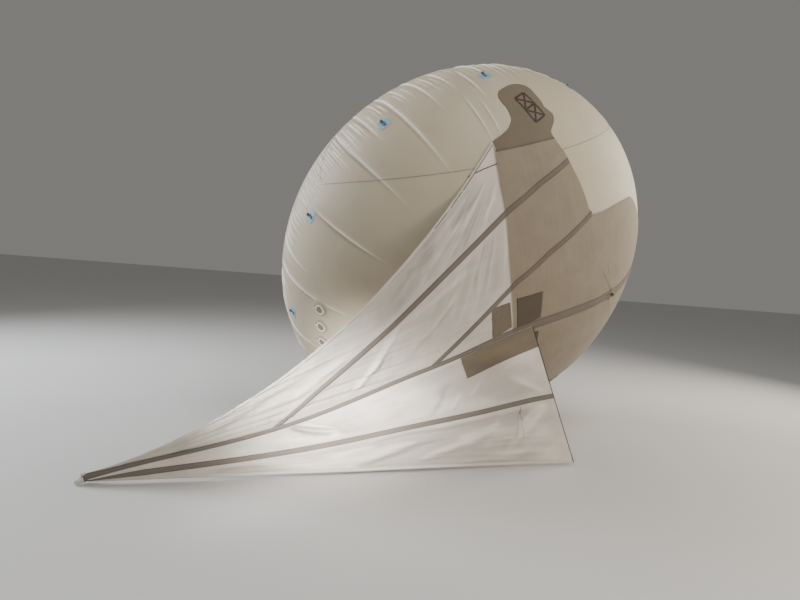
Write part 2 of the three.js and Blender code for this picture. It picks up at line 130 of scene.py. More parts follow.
# The shoulder's cloth, between a rear and a front outline, and half of the nose's, as p, q
SHOULDER_REAR = (
    (-0.320, 1.700), (-0.316, 1.776), (-0.228, 1.816), (-0.140, 1.856), (-0.084, 1.904), (-0.052, 1.944),
    (-0.044, 2.000), (-0.044, 2.056), (-0.060, 2.112), (-0.060, 2.168), (-0.036, 2.216), (0.004, 2.248),
    (0.084, 2.272))
SHOULDER_FRONT = (
    (0.308, 1.700), (0.308, 1.760), (0.372, 1.816), (0.404, 1.848), (0.434, 1.905), (0.400, 1.960),
    (0.380, 1.992), (0.388, 2.048), (0.380, 2.112), (0.372, 2.184), (0.356, 2.232), (0.324, 2.262),
    (0.260, 2.286))
NOSE_LOBE = ((1.802, 0.262), (1.880, 0.215), (1.960, 0.225), (2.080, 0.262), (2.200, 0.230), (2.284, 0.110))
# Corners of the doublers beside the spine: low rear, low front, high front, high rear
DOUBLERS = {
    "rear": ((-0.536, 0.104), (-0.350, 0.150), (-0.378, 0.446), (-0.556, 0.432)),
    "front": ((-0.296, 0.136), (-0.066, 0.172), (-0.060, 0.470), (-0.316, 0.462)),
}
# p of the gathered tie on the middle line
TIE_P = 0.884

# Folds in the free cloth of the right wing: from p, q to p, q, half width and height
SAIL_FOLDS = (
    (-0.996, 1.104, -1.540, 0.552, 0.065, -0.024),
    (-1.140, 0.960, -1.404, 0.696, 0.030, 0.014),
    (-0.364, 1.496, -0.716, 0.896, 0.030, 0.013),
    (-0.452, 1.488, -0.764, 1.128, 0.022, 0.011),
    (-0.516, 1.448, -0.860, 1.144, 0.024, -0.012),
    (-0.580, 1.352, -1.356, 0.720, 0.036, 0.013),
    (-0.420, 1.380, -0.560, 1.180, 0.018, 0.008),
    (-0.724, 0.816, -1.364, 0.504, 0.026, 0.013),
    (-0.828, 0.704, -1.180, 0.304, 0.020, 0.011),
    (-0.900, 0.560, -1.260, 0.220, 0.022, -0.010),
    (-1.364, 0.520, -1.676, 0.112, 0.028, 0.014),
    (-1.556, 0.272, -1.812, 0.000, 0.022, 0.011),
    (-0.628, 0.896, -0.692, 0.584, 0.014, 0.006),
    (-1.700, 0.420, -2.350, 0.110, 0.035, 0.012),
    (-2.050, 0.330, -2.900, 0.020, 0.030, -0.010),
)
# Where the narrow folds of the free wing fan out from, as p, q, and their spacing in radians and height
FOLD_FAN = (-0.310, 1.660)
FAN_RIPPLES = ((0.170, 0.0150), (0.085, 0.0085), (0.050, 0.0040))
# Thin dark line across the outer corner of the free cloth, as p, q: painted shadow of the film's weld line,
# seen through the cloth
WELD_SHADOW_LINE = ((-0.590, 1.541), (-0.460, 1.574), (-0.336, 1.596))
# Creases in the laid cloth that fan out from the tie
TIE_FOLDS = (
    (0.884, 0.090, 0.652, 0.456, 0.008, 0.0050),
    (0.884, 0.090, 0.700, 0.450, 0.007, 0.0045),
    (0.884, 0.090, 0.756, 0.440, 0.008, 0.0055),
    (0.884, 0.090, 0.805, 0.400, 0.007, 0.0040),
    (0.884, 0.090, 0.852, 0.368, 0.008, 0.0050),
    (0.884, 0.090, 0.905, 0.400, 0.007, 0.0045),
    (0.884, 0.090, 0.964, 0.408, 0.008, 0.0050),
    (0.884, 0.090, 1.010, 0.330, 0.007, 0.0035),
    (0.884, 0.030, 0.836, -0.168, 0.008, 0.0045),
    (0.884, 0.030, 0.950, -0.240, 0.007, 0.0040),
    (0.884, 0.030, 1.076, -0.400, 0.008, 0.0045),
)
# Narrow folds of the free cloth and of the keel, and soft unevenness, as spacing and height
SAIL_RIPPLES = ((0.420, 0.0150), (0.170, 0.0120), (0.085, 0.0080), (0.055, 0.0040))
KEEL_RIPPLES = ((0.300, 0.0340), (0.150, 0.0220), (0.075, 0.0110))
SAIL_UNEVEN = ((0.16, 0.0022), (0.07, 0.0011))
LAID_UNEVEN = ((0.30, 0.0008), (0.09, 0.0005))
PATCH_UNEVEN = ((0.2, 0.0010), (0.06, 0.0006))
KEEL_UNEVEN = ((0.42, 0.010), (0.17, 0.005), (0.07, 0.0018))
# Folds in the keel, from p and the share of its depth to p and share, half width and height
KEEL_FOLDS = (
    (-2.330, 0.02, -2.040, 0.34, 0.026, -0.034),
    (-2.300, 0.00, -2.010, 0.26, 0.020, 0.018),
    (-2.174, 0.25, -1.934, 0.42, 0.024, 0.014),
    (-2.500, 0.20, -1.850, 0.47, 0.030, 0.012),
    (-2.120, 0.93, -1.418, 0.66, 0.040, 0.016),
    (-1.976, 0.98, -1.082, 0.69, 0.034, -0.014),
    (-1.574, 0.94, -0.806, 0.67, 0.034, 0.014),
    (-1.082, 0.79, -0.626, 0.58, 0.028, 0.013),
    (-2.156, 0.72, -1.742, 0.63, 0.028, 0.012),
    (-2.600, 0.86, -1.900, 0.80, 0.034, 0.014),
    (-3.100, 0.75, -2.300, 0.85, 0.030, -0.010),
    (-1.300, 0.96, -0.500, 0.88, 0.036, 0.010),
    (-1.088, 0.43, -0.932, 0.29, 0.018, 0.009),
    (-0.878, 0.35, -0.752, 0.26, 0.015, 0.007),
    (-1.250, 0.45, -1.000, 0.20, 0.026, -0.008),
    (-0.236, 0.53, -0.560, 0.67, 0.024, 0.011),
    (-0.220, 0.55, -0.720, 0.86, 0.030, 0.010),
    (-0.200, 0.48, -0.480, 0.30, 0.026, 0.008),
)
# Long creases of the film: azimuth at the rim, latitudes of both ends in degrees, half width and height
FILM_CREASES = (
    (76.0, 12, -9, 0.007, 0.012),
    (83.0, 16, -9, 0.007, 0.013),
    (89.2, 24, -12, 0.008, 0.015),
    (94.6, 6, -17, 0.007, 0.013),
    (96.4, -15, -33, 0.007, 0.007),
    (99.8, 18, -10, 0.007, 0.014),
    (99.7, -12, -34, 0.007, 0.008),
    (103.2, 16, -8, 0.006, 0.009),
    (106.3, 24, -15, 0.008, 0.016),
    (111.2, 20, -4, 0.007, 0.011),
    (115.2, 26, -36, 0.009, 0.019),
    (118.4, 22, -4, 0.007, 0.011),
    (123.0, 26, -13, 0.008, 0.016),
    (125.6, 18, -6, 0.007, 0.011),
    (128.3, 20, -3, 0.006, 0.010),
    (130.4, 26, -36, 0.009, 0.016),
    (147.8, -3, -40, 0.007, 0.012),
    (159.0, 20, -3, 0.006, 0.011),
    (161.0, 20, -4, 0.006, 0.011),
    (163.2, 20, -15, 0.008, 0.015),
    (169.4, 16, -38, 0.009, 0.017),
    (174.0, 16, -2, 0.006, 0.010),
    (187.0, 12, -22, 0.009, 0.016),
    (193.5, 14, -14, 0.008, 0.013),
    (206.0, 22, -30, 0.008, 0.015),
    (228.0, 24, -34, 0.009, 0.016),
    (243.0, 18, -16, 0.008, 0.013),
    (258.0, 26, -30, 0.008, 0.015),
    (277.0, 20, -9, 0.008, 0.012),
    (296.0, 24, -24, 0.008, 0.014),
    (318.0, 20, -18, 0.008, 0.013),
    (342.0, 24, -13, 0.008, 0.013),
    (2.0, 20, -10, 0.008, 0.013),
    (24.0, 24, -15, 0.008, 0.014),
    (46.0, 18, -22, 0.008, 0.014),
    (62.0, 22, -14, 0.008, 0.014),
    (68.5, 16, -8, 0.007, 0.011),
)
# The film's mesh: even columns, closer ones at the valves in degrees, and its last ring of latitude
EVEN_COLUMNS = 300
VALVE_COLUMNS = (168.0, 184.0, 0.25)
CLOSEST_COLUMNS = 0.0011
LAST_RING = 89.4
# Crease height at which the painted highlight on the film is full
CREASE_HIGHLIGHT_HEIGHT = 0.016
# Valves as p, q, and the radius of the hole in the film under each
VALVES = ((-2.056, 0.303), (-2.056, 0.095), (-2.056, -0.113))
VALVE_HOLE = 0.038
# Tabs: arc from the underside's pole, number, width and length, and the side view and half width of a loop
TAB_ARC = 2.485
TAB_COUNT = 12
TAB_WIDTH, TAB_LENGTH = 0.118, 0.108
LOOP_PATH = (
    (-0.026, 0.0046), (-0.010, 0.0046), (0.004, 0.0050), (0.018, 0.0085), (0.030, 0.0150), (0.038, 0.0190),
    (0.0435, 0.0180), (0.0430, 0.0135), (0.034, 0.0095), (0.020, 0.0066), (0.004, 0.0068), (-0.026, 0.0064))
LOOP_HALF = 0.0125
# Weld lines across the film: q, half width, and how far out they run
WELD_Q = 1.590
WELD_HALF = 0.0035
WELD_REACH = 2.55

# Profiles of a valve's turned shapes, radius and height in millimetres
FLANGE_PROFILE = (
    (24, -26), (25, -26.4), (33, -26.4), (34, -25.6), (34, 0.4), (63.2, 0.5), (64, 1.2), (64, 5.0), (63, 7.0),
    (60.5, 8.0), (51, 8.0), (49.2, 7.6), (48.4, 6.4), (27, 6.2), (25.6, 6.6), (24.6, 6.6), (24, 6.0))
PIN_PROFILE = ((0, -12.5), (2.0, -12.5), (2.5, -12), (2.5, 12), (2.0, 12.5), (0, 12.5))
LID_PROFILE = (
    (0, 7.4), (44.6, 7.4), (45.8, 8.0), (46, 8.8), (46, 12.4), (45.2, 13.6), (43.2, 14.1), (37, 14.0),
    (34.4, 13.2), (33, 11.2), (31.4, 10.4), (15, 10.4), (13.4, 11.0), (12, 12.8), (8.5, 14.0), (0, 14.2))
KNUCKLE_PROFILE = ((2.8, -7.8), (5.0, -7.8), (5.5, -7.2), (5.5, 7.2), (5.0, 7.8), (2.8, 7.8))
# A dark skin in the lid's well: painted shade in its recess
WELL_SHADE_PROFILE = (
    (0, 14.5), (8.8, 14.3), (12.4, 13.2), (13.8, 11.4), (15.3, 10.8), (31.2, 10.8), (33.0, 11.8),
    (32.4, 10.2))
COLLAR_PROFILE = ((60, 0.6), (76, 1.4), (81.5, 1.2), (83, 0.4), (83, -0.6), (60, -0.6))
# Radius of the film's curve that the collars follow
COLLAR_BEND = 2.05

# Side view of the gathered tuft, radius and height
TUFT_PROFILE = (
    (0.060, -0.0010), (0.040, 0.0016), (0.022, 0.006), (0.011, 0.012), (0.0085, 0.017), (0.012, 0.022),
    (0.019, 0.027), (0.024, 0.031))
# Rows of dark thread below the keel's strip, from p and the share of its depth to p and share
DARK_MARK_ROWS = (
    (-0.482, 0.545, -0.620, 0.780),
    (-0.482, 0.545, -0.548, 0.790),
    (-0.480, 0.525, -0.500, 0.640),
)
# The stitched box on a shoulder: its middle as p, q, its heading in degrees, half its width and length,
# its height, the rows of thread and the length of a stitch
BOX_MIDDLE = (0.212, 2.018)
BOX_HEADING = 17.0
BOX_HALVES = (0.075, 0.136)
BOX_LIFT = -0.0012
BOX_ROWS = (-0.006, 0.0, 0.006)
STITCH_LENGTH = 0.014

# The camera's place, and the area lights: name, place, target, size, power, spread in degrees and colour
CAMERA_AT = (-0.628, -6.756, -0.096)
LIGHTS = (
    ("light_back_left", (-8.0, 2.0, 3.6), (0.0, 0.0, 0.2), 4.0, 560, 180, (0.94, 0.97, 1.0)),
    ("light_left", (-9.0, -1.2, 3.0), (-0.5, 0.0, -0.4), 2.5, 250, 180, (0.97, 0.98, 1.0)),
    ("light_front_right", (5.5, -5.0, -0.3), (0.3, 0.0, -0.8), 2.4, 170, 180, (1.0, 0.90, 0.78)),
    ("light_back_right", (6.5, 2.6, 2.4), (0.5, 0.0, 0.2), 4.0, 420, 180, (1.0, 0.91, 0.78)),
    ("light_top", (1.6, -4.6, 5.6), (-0.4, -1.0, -1.2), 2.2, 200, 180, (1.0, 0.97, 0.92)),
    ("light_low", (-3.0, -5.6, -0.9), (-0.85, -1.2, -1.35), 0.5, 15, 20, (1.0, 0.98, 0.95)),
)


# Settings
def colour_setting(name, description, default):
    return bpy.props.FloatVectorProperty(
        name=name, description=description, subtype="COLOR", size=3, min=0, max=1, default=default)


def number_setting(name, description, default, **limits):
    return bpy.props.FloatProperty(name=name, description=description, default=default, **limits)


class FilmSettings(bpy.types.PropertyGroup):
    """Sizes and colours of the gas-tight film."""

    colour: colour_setting("Film colour", "Colour of the milky film", (0.545, 0.478, 0.360))
    pleat_spacing: number_setting(
        "Gather spacing", "Closest spacing of the short gathers round the rim", 0.027,
        min=0.015, unit="LENGTH")
    pleat_height: number_setting("Gather height", "Height of the short gathers", 0.0105, min=0, unit="LENGTH")
    crease_scale: number_setting("Crease strength", "Scale of the long creases' height", 1.0, min=0, max=2)


class ClothSettings(bpy.types.PropertyGroup):
    """Sizes and colours of the kite's cloth."""

    colour: colour_setting("Sail colour", "Colour of the free cloth", (0.710, 0.655, 0.585))
    # The two laid colours are painted shade: the same cloth and strips, drawn darker where they lie on the
    # film
    laid_shade_colour: colour_setting(
        "Laid cloth colour", "Colour of the cloth where it lies on the film", (0.268, 0.219, 0.155))
    strip_colour: colour_setting("Strip colour", "Colour of the doubled strips", (0.196, 0.172, 0.146))
    laid_strip_shade_colour: colour_setting(
        "Laid strip colour", "Colour of the strips where they lie on the film", (0.168, 0.139, 0.106))
    grid: number_setting("Ripstop grid", "Spacing of the thicker threads", 0.006, min=0.001, unit="LENGTH")
    strip_width: number_setting("Strip width", "Width of the slanting strips", 0.045, min=0.01, unit="LENGTH")
    spine_width: number_setting("Spine width", "Width of the spine strip", 0.086, min=0.01, unit="LENGTH")
    fold_scale: number_setting("Fold strength", "Scale of the folds' height", 1.25, min=0, max=2)


class TrimSettings(bpy.types.PropertyGroup):
    """Tabs, valves and cords."""

    tab_colour: colour_setting("Tab colour", "Colour of the tab patches", (0.300, 0.500, 0.620))
    webbing_colour: colour_setting("Webbing colour", "Colour of the tabs' loops", (0.030, 0.085, 0.160))
    valve_colour: colour_setting("Valve colour", "Colour of the valves' plastic", (0.860, 0.840, 0.780))
    cord_radius: number_setting(
        "Edge cord radius", "Radius of the cord on the keel's front edge", 0.0045, min=0.001, unit="LENGTH")


class StageSettings(bpy.types.PropertyGroup):
    """Camera and floor."""

    lens: number_setting("Focal length", "Camera lens", 29.25, min=5, unit="CAMERA")
    pitch: number_setting("Pitch down", "Camera tilt below the horizon", math.radians(3.5), subtype="ANGLE")
    roll: number_setting("Roll", "Camera roll", math.radians(4.32), subtype="ANGLE")
    floor_colour: colour_setting("Floor colour", "Colour of the floor", (0.62, 0.62, 0.62))


class KiteBalloonSettings(bpy.types.PropertyGroup):
    """All settings of the kite balloon."""

    film: bpy.props.PointerProperty(type=FilmSettings)
    cloth: bpy.props.PointerProperty(type=ClothSettings)
    trim: bpy.props.PointerProperty(type=TrimSettings)
    stage: bpy.props.PointerProperty(type=StageSettings)


# Shapes of the envelope and kite
def turn(axis, degrees):
    return np.array(Matrix.Rotation(math.radians(degrees), 3, axis))


POSE = turn("Z", HEADING) @ turn("Y", -NOSE_UP) @ turn("X", ROLL)


def to_pose(points):
    """From the kite's own frame to the resting pose."""
    return points @ POSE.T


ANGLES = np.linspace(0, math.pi / 2, 401)
_MIDDLES = (ANGLES[1:] + ANGLES[:-1]) / 2
ARCS = np.concatenate([[0], np.cumsum(
    np.hypot(RADIUS * np.cos(_MIDDLES), HALF_DEPTH * np.sin(_MIDDLES)) * (ANGLES[1] - ANGLES[0]))])


def unit(vectors):
    return vectors / np.maximum(np.linalg.norm(vectors, axis=-1, keepdims=True), 1e-12)


def smooth(x, low, high):
    t = np.clip((x - low) / (high - low), 0, 1)
    return t * t * (3 - 2 * t)


def film_point(azimuth, latitude):
    """Point and normal of the film; azimuth from the nose to the right, latitude up from the rim, radians."""
    x = np.cos(latitude) * np.cos(azimuth)
    y = -np.cos(latitude) * np.sin(azimuth)
    z = np.sin(latitude)
    point = np.stack([RADIUS * x, RADIUS * y, HALF_DEPTH * z], -1)
    return point, unit(np.stack([x / RADIUS, y / RADIUS, z / HALF_DEPTH], -1))


def latitude_at(arc):
    """Latitude on the underside at an arc from its pole."""
    return np.interp(arc, ARCS, ANGLES) - math.pi / 2


def on_underside(p, q):
    return film_point(np.arctan2(q, p), latitude_at(np.hypot(p, q)))


TAIL_TIP = np.array([TAIL, 0.0, TAIL_Z])


def from_tail(p):
    """Share of the way from the tail tip to where the cloth leaves the film."""
    return (p - TAIL) / (LIFT_OFF - TAIL)


def sail(p, q):
    """The kite's surface over its flat pattern: on the film ahead of LIFT_OFF, ruled to the tail behind."""
    p, q = np.broadcast_arrays(np.asarray(p, float), np.asarray(q, float))
    t = np.maximum(from_tail(p), 1e-6)
    reach = np.clip(q / t, -REACH_LIMIT, REACH_LIMIT)
    line = on_underside(np.full_like(p, LIFT_OFF), reach)[0]
    free = TAIL_TIP + (line - TAIL_TIP) * t[..., None]
    laid = on_underside(p, q)[0]
    return np.where((p >= LIFT_OFF)[..., None], laid, free)


def sail_normal(p, q):
    along = sail(p + NORMAL_STEP, q) - sail(p - NORMAL_STEP, q)
    across = sail(p, q + NORMAL_STEP) - sail(p, q - NORMAL_STEP)
    return unit(np.cross(along, across))


def bump(x):
    return np.where(np.abs(x) < 1, 0.5 + 0.5 * np.cos(np.pi * np.clip(x, -1, 1)), 0)


def spine_q(p):
    """The middle line sags between tail and keel and is pulled up at the keel's front."""
    p = np.asarray(p, float)
    pull, behind, ahead = PULL
    sag, middle, reach = SAG
    return sag * bump((p - middle) / reach) + pull * bump(p / np.where(p < 0, behind, ahead))


def between(corners, x):
    """Second coordinate on a line of corners, at the first."""
    return np.interp(x, [c[0] for c in corners], [c[1] for c in corners])


def line_q(corners, p):
    """q on a line of corners, carried on past its first corner."""
    (p0, q0), (p1, q1) = corners[:2]
    return np.where(p < p0, q0 + (q1 - q0) / (p1 - p0) * (p - p0), between(corners, p))


def free_edge(p):
    share = np.clip(from_tail(p), 0, 1)
    return SHOULDER_Q * share**EDGE_POWER + TAIL_WIDTH * (1 - share) ** TAIL_POWER


def laid_mask(p, q):
    """One where the cloth lies on the film, zero where it hangs free; the cloth is painted in shade by it."""
    line = between(MEETS_FILM, np.abs(q))
    return smooth(p, line - 0.008, line + 0.008)


def segment_folds(x, y, folds):
    """Sum of long soft ridges and valleys laid along segments."""
    total = np.zeros_like(x)
    for x0, y0, x1, y1, half, height in folds:
        dx, dy = x1 - x0, y1 - y0
        length = math.hypot(dx, dy)
        along = ((x - x0) * dx + (y - y0) * dy) / length**2
        off = ((x - x0) * dy - (y - y0) * dx) / length
        ends = smooth(along, -0.12, 0.30) * smooth(along, 1.12, 0.70)
        total += height * ends * np.exp(-((off / half) ** 2))
    return total


def ripple(x, y, seed, rows):
    """A soft uneven surface from a few waves; rows are wavelength and height pairs."""
    rng = np.random.default_rng(seed)
    total = np.zeros(np.broadcast(x, y).shape)
    for wavelength, height in rows:
        for _ in range(3):
            heading = rng.uniform(0, math.pi)
            k = 2 * math.pi / (wavelength * rng.uniform(0.75, 1.3))
            phase = rng.uniform(0, 2 * math.pi)
            total += height / 3 * np.sin(k * (x * math.cos(heading) + y * math.sin(heading)) + phase)
    return total


def ray_folds(ray, t, rows, seed):
    """Narrow folds from the tail to where the cloth meets the film; rows are spacing and height."""
    rng = np.random.default_rng(seed)
    total = np.zeros(np.broadcast(ray, t).shape)
    for spacing, height in rows:
        for _ in range(3):
            k = 2 * math.pi / (spacing * rng.uniform(0.8, 1.25))
            sway, phase, beat = rng.uniform(0.3, 1.3), rng.uniform(0, 2 * math.pi), rng.uniform(1.5, 5.0)
            wave = np.sin(k * ray + phase + sway * np.sin(beat * t + phase))
            crest = 1 - 2 * np.sqrt(np.abs(wave) + 0.02)
            fade = 0.35 + 0.65 * np.sin(1.7 * ray + beat * t + 2 * phase) ** 2
            total += height / 3 * fade * (0.5 * wave + 0.5 * crest)
    return total


def sail_relief(p, q, scale):
    """How far the cloth stands off its smooth surface."""
    t = np.clip(from_tail(p), 1e-3, 1)
    free = smooth(p, LIFT_OFF + 0.01, LIFT_OFF - 0.16)
    ray = np.clip(q / t, -RAY_LIMIT, RAY_LIMIT)
    near_tail = smooth(t, 0.02, 0.25)
    rays = ray_folds(ray, t, SAIL_RIPPLES, SEED) * np.sqrt(t) * (0.25 + 0.75 * smooth(t, 0.92, 0.55))
    back, down = FOLD_FAN[0] - p, FOLD_FAN[1] - np.abs(q)
    reach = np.hypot(back, down)
    fan = ray_folds(np.arctan2(down, back), reach, FAN_RIPPLES, SEED + 4)
    fan = fan * smooth(reach, 0.06, 0.45) * smooth(reach, 1.70, 0.75)
    small = ripple(p, q, SEED + 8, SAIL_UNEVEN)
    folds = segment_folds(p, np.where(q > 0, q, -q - 0.06), SAIL_FOLDS)
    laid = 0.0012 + ripple(p, q, SEED + 1, LAID_UNEVEN) + segment_folds(p, q, TIE_FOLDS)
    seams = np.minimum(np.abs(np.abs(q) - line_q(STRIP_B, p)), np.abs(np.abs(q) - line_q(STRIP_C, p)))
    taut = 0.08 + 0.92 * smooth(np.minimum(seams, np.abs(q - spine_q(p))), 0.015, 0.100)
    relief = free * near_tail * taut * scale * (rays + fan + folds + small) + (1 - free) * laid
    # The free cloth never sinks far towards the film, nor through it
    x, y, z = np.moveaxis(sail(p, q), -1, 0)
    gap = HALF_DEPTH * (np.sqrt((x**2 + y**2) / RADIUS**2 + z**2 / HALF_DEPTH**2) - 1)
    return np.maximum(relief, np.where(gap > 0, -0.7 * gap, -1.6 * gap) - 0.001)


def sail_points(p, q, height):
    """Places at a height over the kite's smooth surface, in the resting pose."""
    return to_pose(sail(p, q) + sail_normal(p, q) * height[..., None])


def cloth_points(p, q, lift, scale):
    return sail_points(p, q, CLOTH_LIFT + lift + sail_relief(p, q, scale))


KEEL_LINE = np.array(KEEL_CORNER) - TAIL_TIP


def along_keel(p):
    """Share of the way from the tail tip to the keel's front edge."""
    return (p - TAIL) / (KEEL_FRONT - TAIL)


def keel_rule(p):
    """Upper and lower end of the keel's straight rule at p."""
    p = np.asarray(p, float)
    q = spine_q(p)
    top = sail(p, q) + sail_normal(p, q) * KEEL_LIFT
    foot = TAIL_TIP + KEEL_LINE * along_keel(p)[..., None]
    return top, foot


def keel_depth(p):
    top, foot = keel_rule(p)
    return np.linalg.norm(foot - top, axis=-1)


def keel_relief(p, share, depth):
    """How far the keel's cloth stands off its flat face."""
    p, share, depth = np.broadcast_arrays(p, share, depth)
    folds = [(a, b * keel_depth(np.array(a)), c, d * keel_depth(np.array(c)), half, height)
             for a, b, c, d, half, height in KEEL_FOLDS]
    y = share * depth
    t = np.clip(along_keel(p), 0, 1)
    long_folds = ray_folds(share, t, KEEL_RIPPLES, SEED + 6) * np.sqrt(t)
    long_folds = long_folds * smooth(t, 1.02, 0.80) * (0.25 + 0.75 * smooth(share, 0.42, 0.62))
    relief = 1.5 * segment_folds(p, y, folds) + long_folds + ripple(p * 0.45, y, SEED + 2, KEEL_UNEVEN)
    free = smooth(share, 0.0, 0.06) * smooth(depth, 0.05, 0.30)
    seam = 0.2 + 0.8 * smooth(np.abs(share - 0.5) * depth, 0.020, 0.080)
    front = 0.25 + 0.75 * smooth(p, KEEL_FRONT + 0.001, KEEL_FRONT - 0.10)
    return free * seam * front * (1 - 0.6 * smooth(share, 0.93, 1.0)) * relief


def keel_points(p, share, lift, scale):
    """A place on the keel's cloth, by p and the share of its depth, stood off its face."""
    p, share = np.broadcast_arrays(np.asarray(p, float), np.asarray(share, float))
    top, foot = keel_rule(p)
    face = unit(np.cross(foot - top, KEEL_LINE))
    height = lift + scale * keel_relief(p, share, np.linalg.norm(foot - top, axis=-1))
    return to_pose(top + (foot - top) * share[..., None] + face * height[..., None])


def valve_frame(p, q):
    """Place and axes of a valve: x to the rim where the hinge is, z out of the film."""
    place, normal = on_underside(np.array(p), np.array(q))
    arc, azimuth = math.hypot(p, q), math.atan2(q, p)
    further = arc + NORMAL_STEP
    ahead, _ = on_underside(np.array(further * math.cos(azimuth)), np.array(further * math.sin(azimuth)))
    outward = ahead - place
    outward = unit(outward - normal * outward.dot(normal))
    axes = POSE @ np.column_stack([outward, np.cross(normal, outward), normal])
    matrix = Matrix.Identity(4)
    for row in range(3):
        for column in range(3):
            matrix[row][column] = axes[row][column]
        matrix[row][3] = (POSE @ place)[row]
    return matrix


class Pleats:
    """Creases and short gathers of the film near its rim."""

    def __init__(self, settings):
        rng = np.random.default_rng(SEED + 3)
        self.rows = [
            (math.radians(a), math.radians(up), math.radians(down), half, h * settings.crease_scale, h * 0.75)
            for a, up, down, half, h in FILM_CREASES]
        azimuth = 0.0
        while azimuth < 2 * math.pi - 0.02:
            sparse = (0.5 - 0.5 * math.sin(6 * azimuth + 1.2 * math.sin(2 * azimuth) + 0.6)) ** 2
            step = settings.pleat_spacing * (1 + 2.6 * sparse) * rng.uniform(0.8, 1.25)
            azimuth += step / RADIUS
            up, down = math.radians(rng.uniform(9, 19)), -math.radians(rng.uniform(1, 10 - 5 * sparse))
            height = settings.pleat_height * rng.uniform(0.35, 1.1) * (1 - 0.4 * sparse)
            self.rows.append((azimuth, up, down, rng.uniform(0.0055, 0.0085), height, 0.0))

    def columns(self):
        """Azimuths at the rim that follow every crease closely, and lie evenly between them."""
        found = [np.linspace(0, 2 * math.pi, EVEN_COLUMNS, endpoint=False),
                 np.radians(np.arange(*VALVE_COLUMNS))]
        for centre, _, _, half, _, dent in self.rows:
            steps = (-3.0, -1.4, -0.55, 0.0, 0.55, 1.4, 3.0) if dent else (-1.5, -0.6, 0.0, 0.6, 1.5)
            found.append(centre + np.array(steps) * half / RADIUS)
        around = np.sort(np.concatenate(found) % (2 * math.pi))
        return around[np.concatenate([[True], np.diff(around) > CLOSEST_COLUMNS])]

    def height(self, azimuth, latitude, dented=True):
        """Height of all creases and gathers, with or without the broad dents under the long ones."""
        shape = np.broadcast(azimuth, latitude).shape
        azimuth, latitude = np.broadcast_to(azimuth, shape), np.broadcast_to(latitude, shape)
        total = np.zeros(shape)
        for centre, up, down, half, strength, dent in self.rows:
            turn_off = (azimuth - centre + math.pi) % (2 * math.pi) - math.pi
            near = np.abs(turn_off) < 0.12
            high = latitude[near]
            off = RADIUS * np.cos(high) * turn_off[near]
            ends = smooth(high, down - 0.02, down + 0.6 * (up - down))
            ends = ends * smooth(high, up + 0.02, up - 0.25 * (up - down))
            ridge = np.exp(-np.abs(off) / half) - 0.45 * np.exp(-(((off - 2.4 * half) / (1.5 * half)) ** 2))
            total[near] += ends * (strength * ridge - dent * dented * np.exp(-((off / 0.075) ** 2)))
        return total

    def point(self, azimuth, latitude, lift=0.0):
        base, normal = film_point(azimuth, latitude)
        height = self.height(azimuth, latitude) * self.calm(base)
        return to_pose(base + normal * (height + lift)[..., None])

    def crease_highlight_and_shade(self, azimuth, latitude):
        """Painted highlight and shade of the creases for the film's colour: 0.5 where smooth, 1 on a ridge
        and less in a dip.
        """
        base, _ = film_point(azimuth, latitude)
        height = self.height(azimuth, latitude, False) * self.calm(base)
        return np.clip(0.5 + height / CREASE_HIGHLIGHT_HEIGHT, 0.2, 1.0)

    def calm(self, base):
        """No creases under the valves and the tabs."""
        places = [(on_underside(np.array(p), np.array(q))[0], 0.070, 0.120) for p, q in VALVES]
        places += [(film_point(np.array(2 * math.pi * i / TAB_COUNT), latitude_at(TAB_ARC))[0], 0.060, 0.095)
                   for i in range(TAB_COUNT)]
        calm = np.ones(base.shape[:-1])
        for place, inner, outer in places:
            calm = np.minimum(calm, smooth(np.linalg.norm(base - place, axis=-1), inner, outer))
        return calm


# Meshes
def mesh_object(name, vertices, faces, uvs, material, body=BODY):
    """A smooth mesh from arrays, riding on a body; uvs are per vertex, in metres, or None."""
    mesh = bpy.data.meshes.new(name)
    mesh.from_pydata([tuple(v) for v in vertices], [], [list(f) for f in faces])
    if uvs is not None:
        corners = np.empty(len(mesh.loops), dtype=np.int32)
        mesh.loops.foreach_get("vertex_index", corners)
        layer = mesh.uv_layers.new(name="Pattern")
        layer.data.foreach_set("uv", np.asarray(uvs, np.float32)[corners].ravel())
    mesh.polygons.foreach_set("use_smooth", np.ones(len(mesh.polygons), dtype=bool))
    mesh.update()
    mesh.materials.append(material)
    piece = bpy.data.objects.new(name, mesh)
    bpy.context.scene.collection.objects.link(piece)
    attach(piece, body)
    return piece


def set_attribute(piece, name, values):
    data = piece.data.attributes.new(name, "FLOAT", "POINT")
    data.data.foreach_set("value", values.astype(np.float32).ravel())


def grid_faces(rows, columns, closed=False):
    index = np.arange(rows * columns).reshape(rows, columns)
    if closed:
        index = np.concatenate([index, index[:1]], axis=0)
    return np.stack([index[:-1, :-1], index[1:, :-1], index[1:, 1:], index[:-1, 1:]], -1).reshape(-1, 4)


def grid_object(name, points, uv_u, uv_v, material, slot, laid=None, crest=None):
    """A sheet from a grid of points; laid and crest are kept per vertex for its material, which paints shade
    by laid and fold highlight and shade by crest.
    """
    shape = points.shape[:2]
    uvs = np.stack(np.broadcast_arrays(uv_u, uv_v), -1).reshape(-1, 2)
    piece = mesh_object(name, points.reshape(-1, 3), grid_faces(*shape), uvs, material)
    for word, values in (("laid", laid), ("crest", crest)):
        if values is not None:
            set_attribute(piece, word, np.broadcast_to(values, shape))
    return piece


def thicken(piece, thickness, offset=1.0):
    """Gives a sheet a real thickness, applied to its mesh."""
    modifier = piece.modifiers.new("Thickness", "SOLIDIFY")
    modifier.thickness = thickness
    modifier.offset = offset
    modifier.use_even_offset = False
    apply_modifiers(piece)
    return piece


def apply_modifiers(piece):
    depsgraph = bpy.context.evaluated_depsgraph_get()
    made = bpy.data.meshes.new_from_object(piece.evaluated_get(depsgraph))
    old = piece.data
    piece.modifiers.clear()
    piece.data = made
    bpy.data.meshes.remove(old)


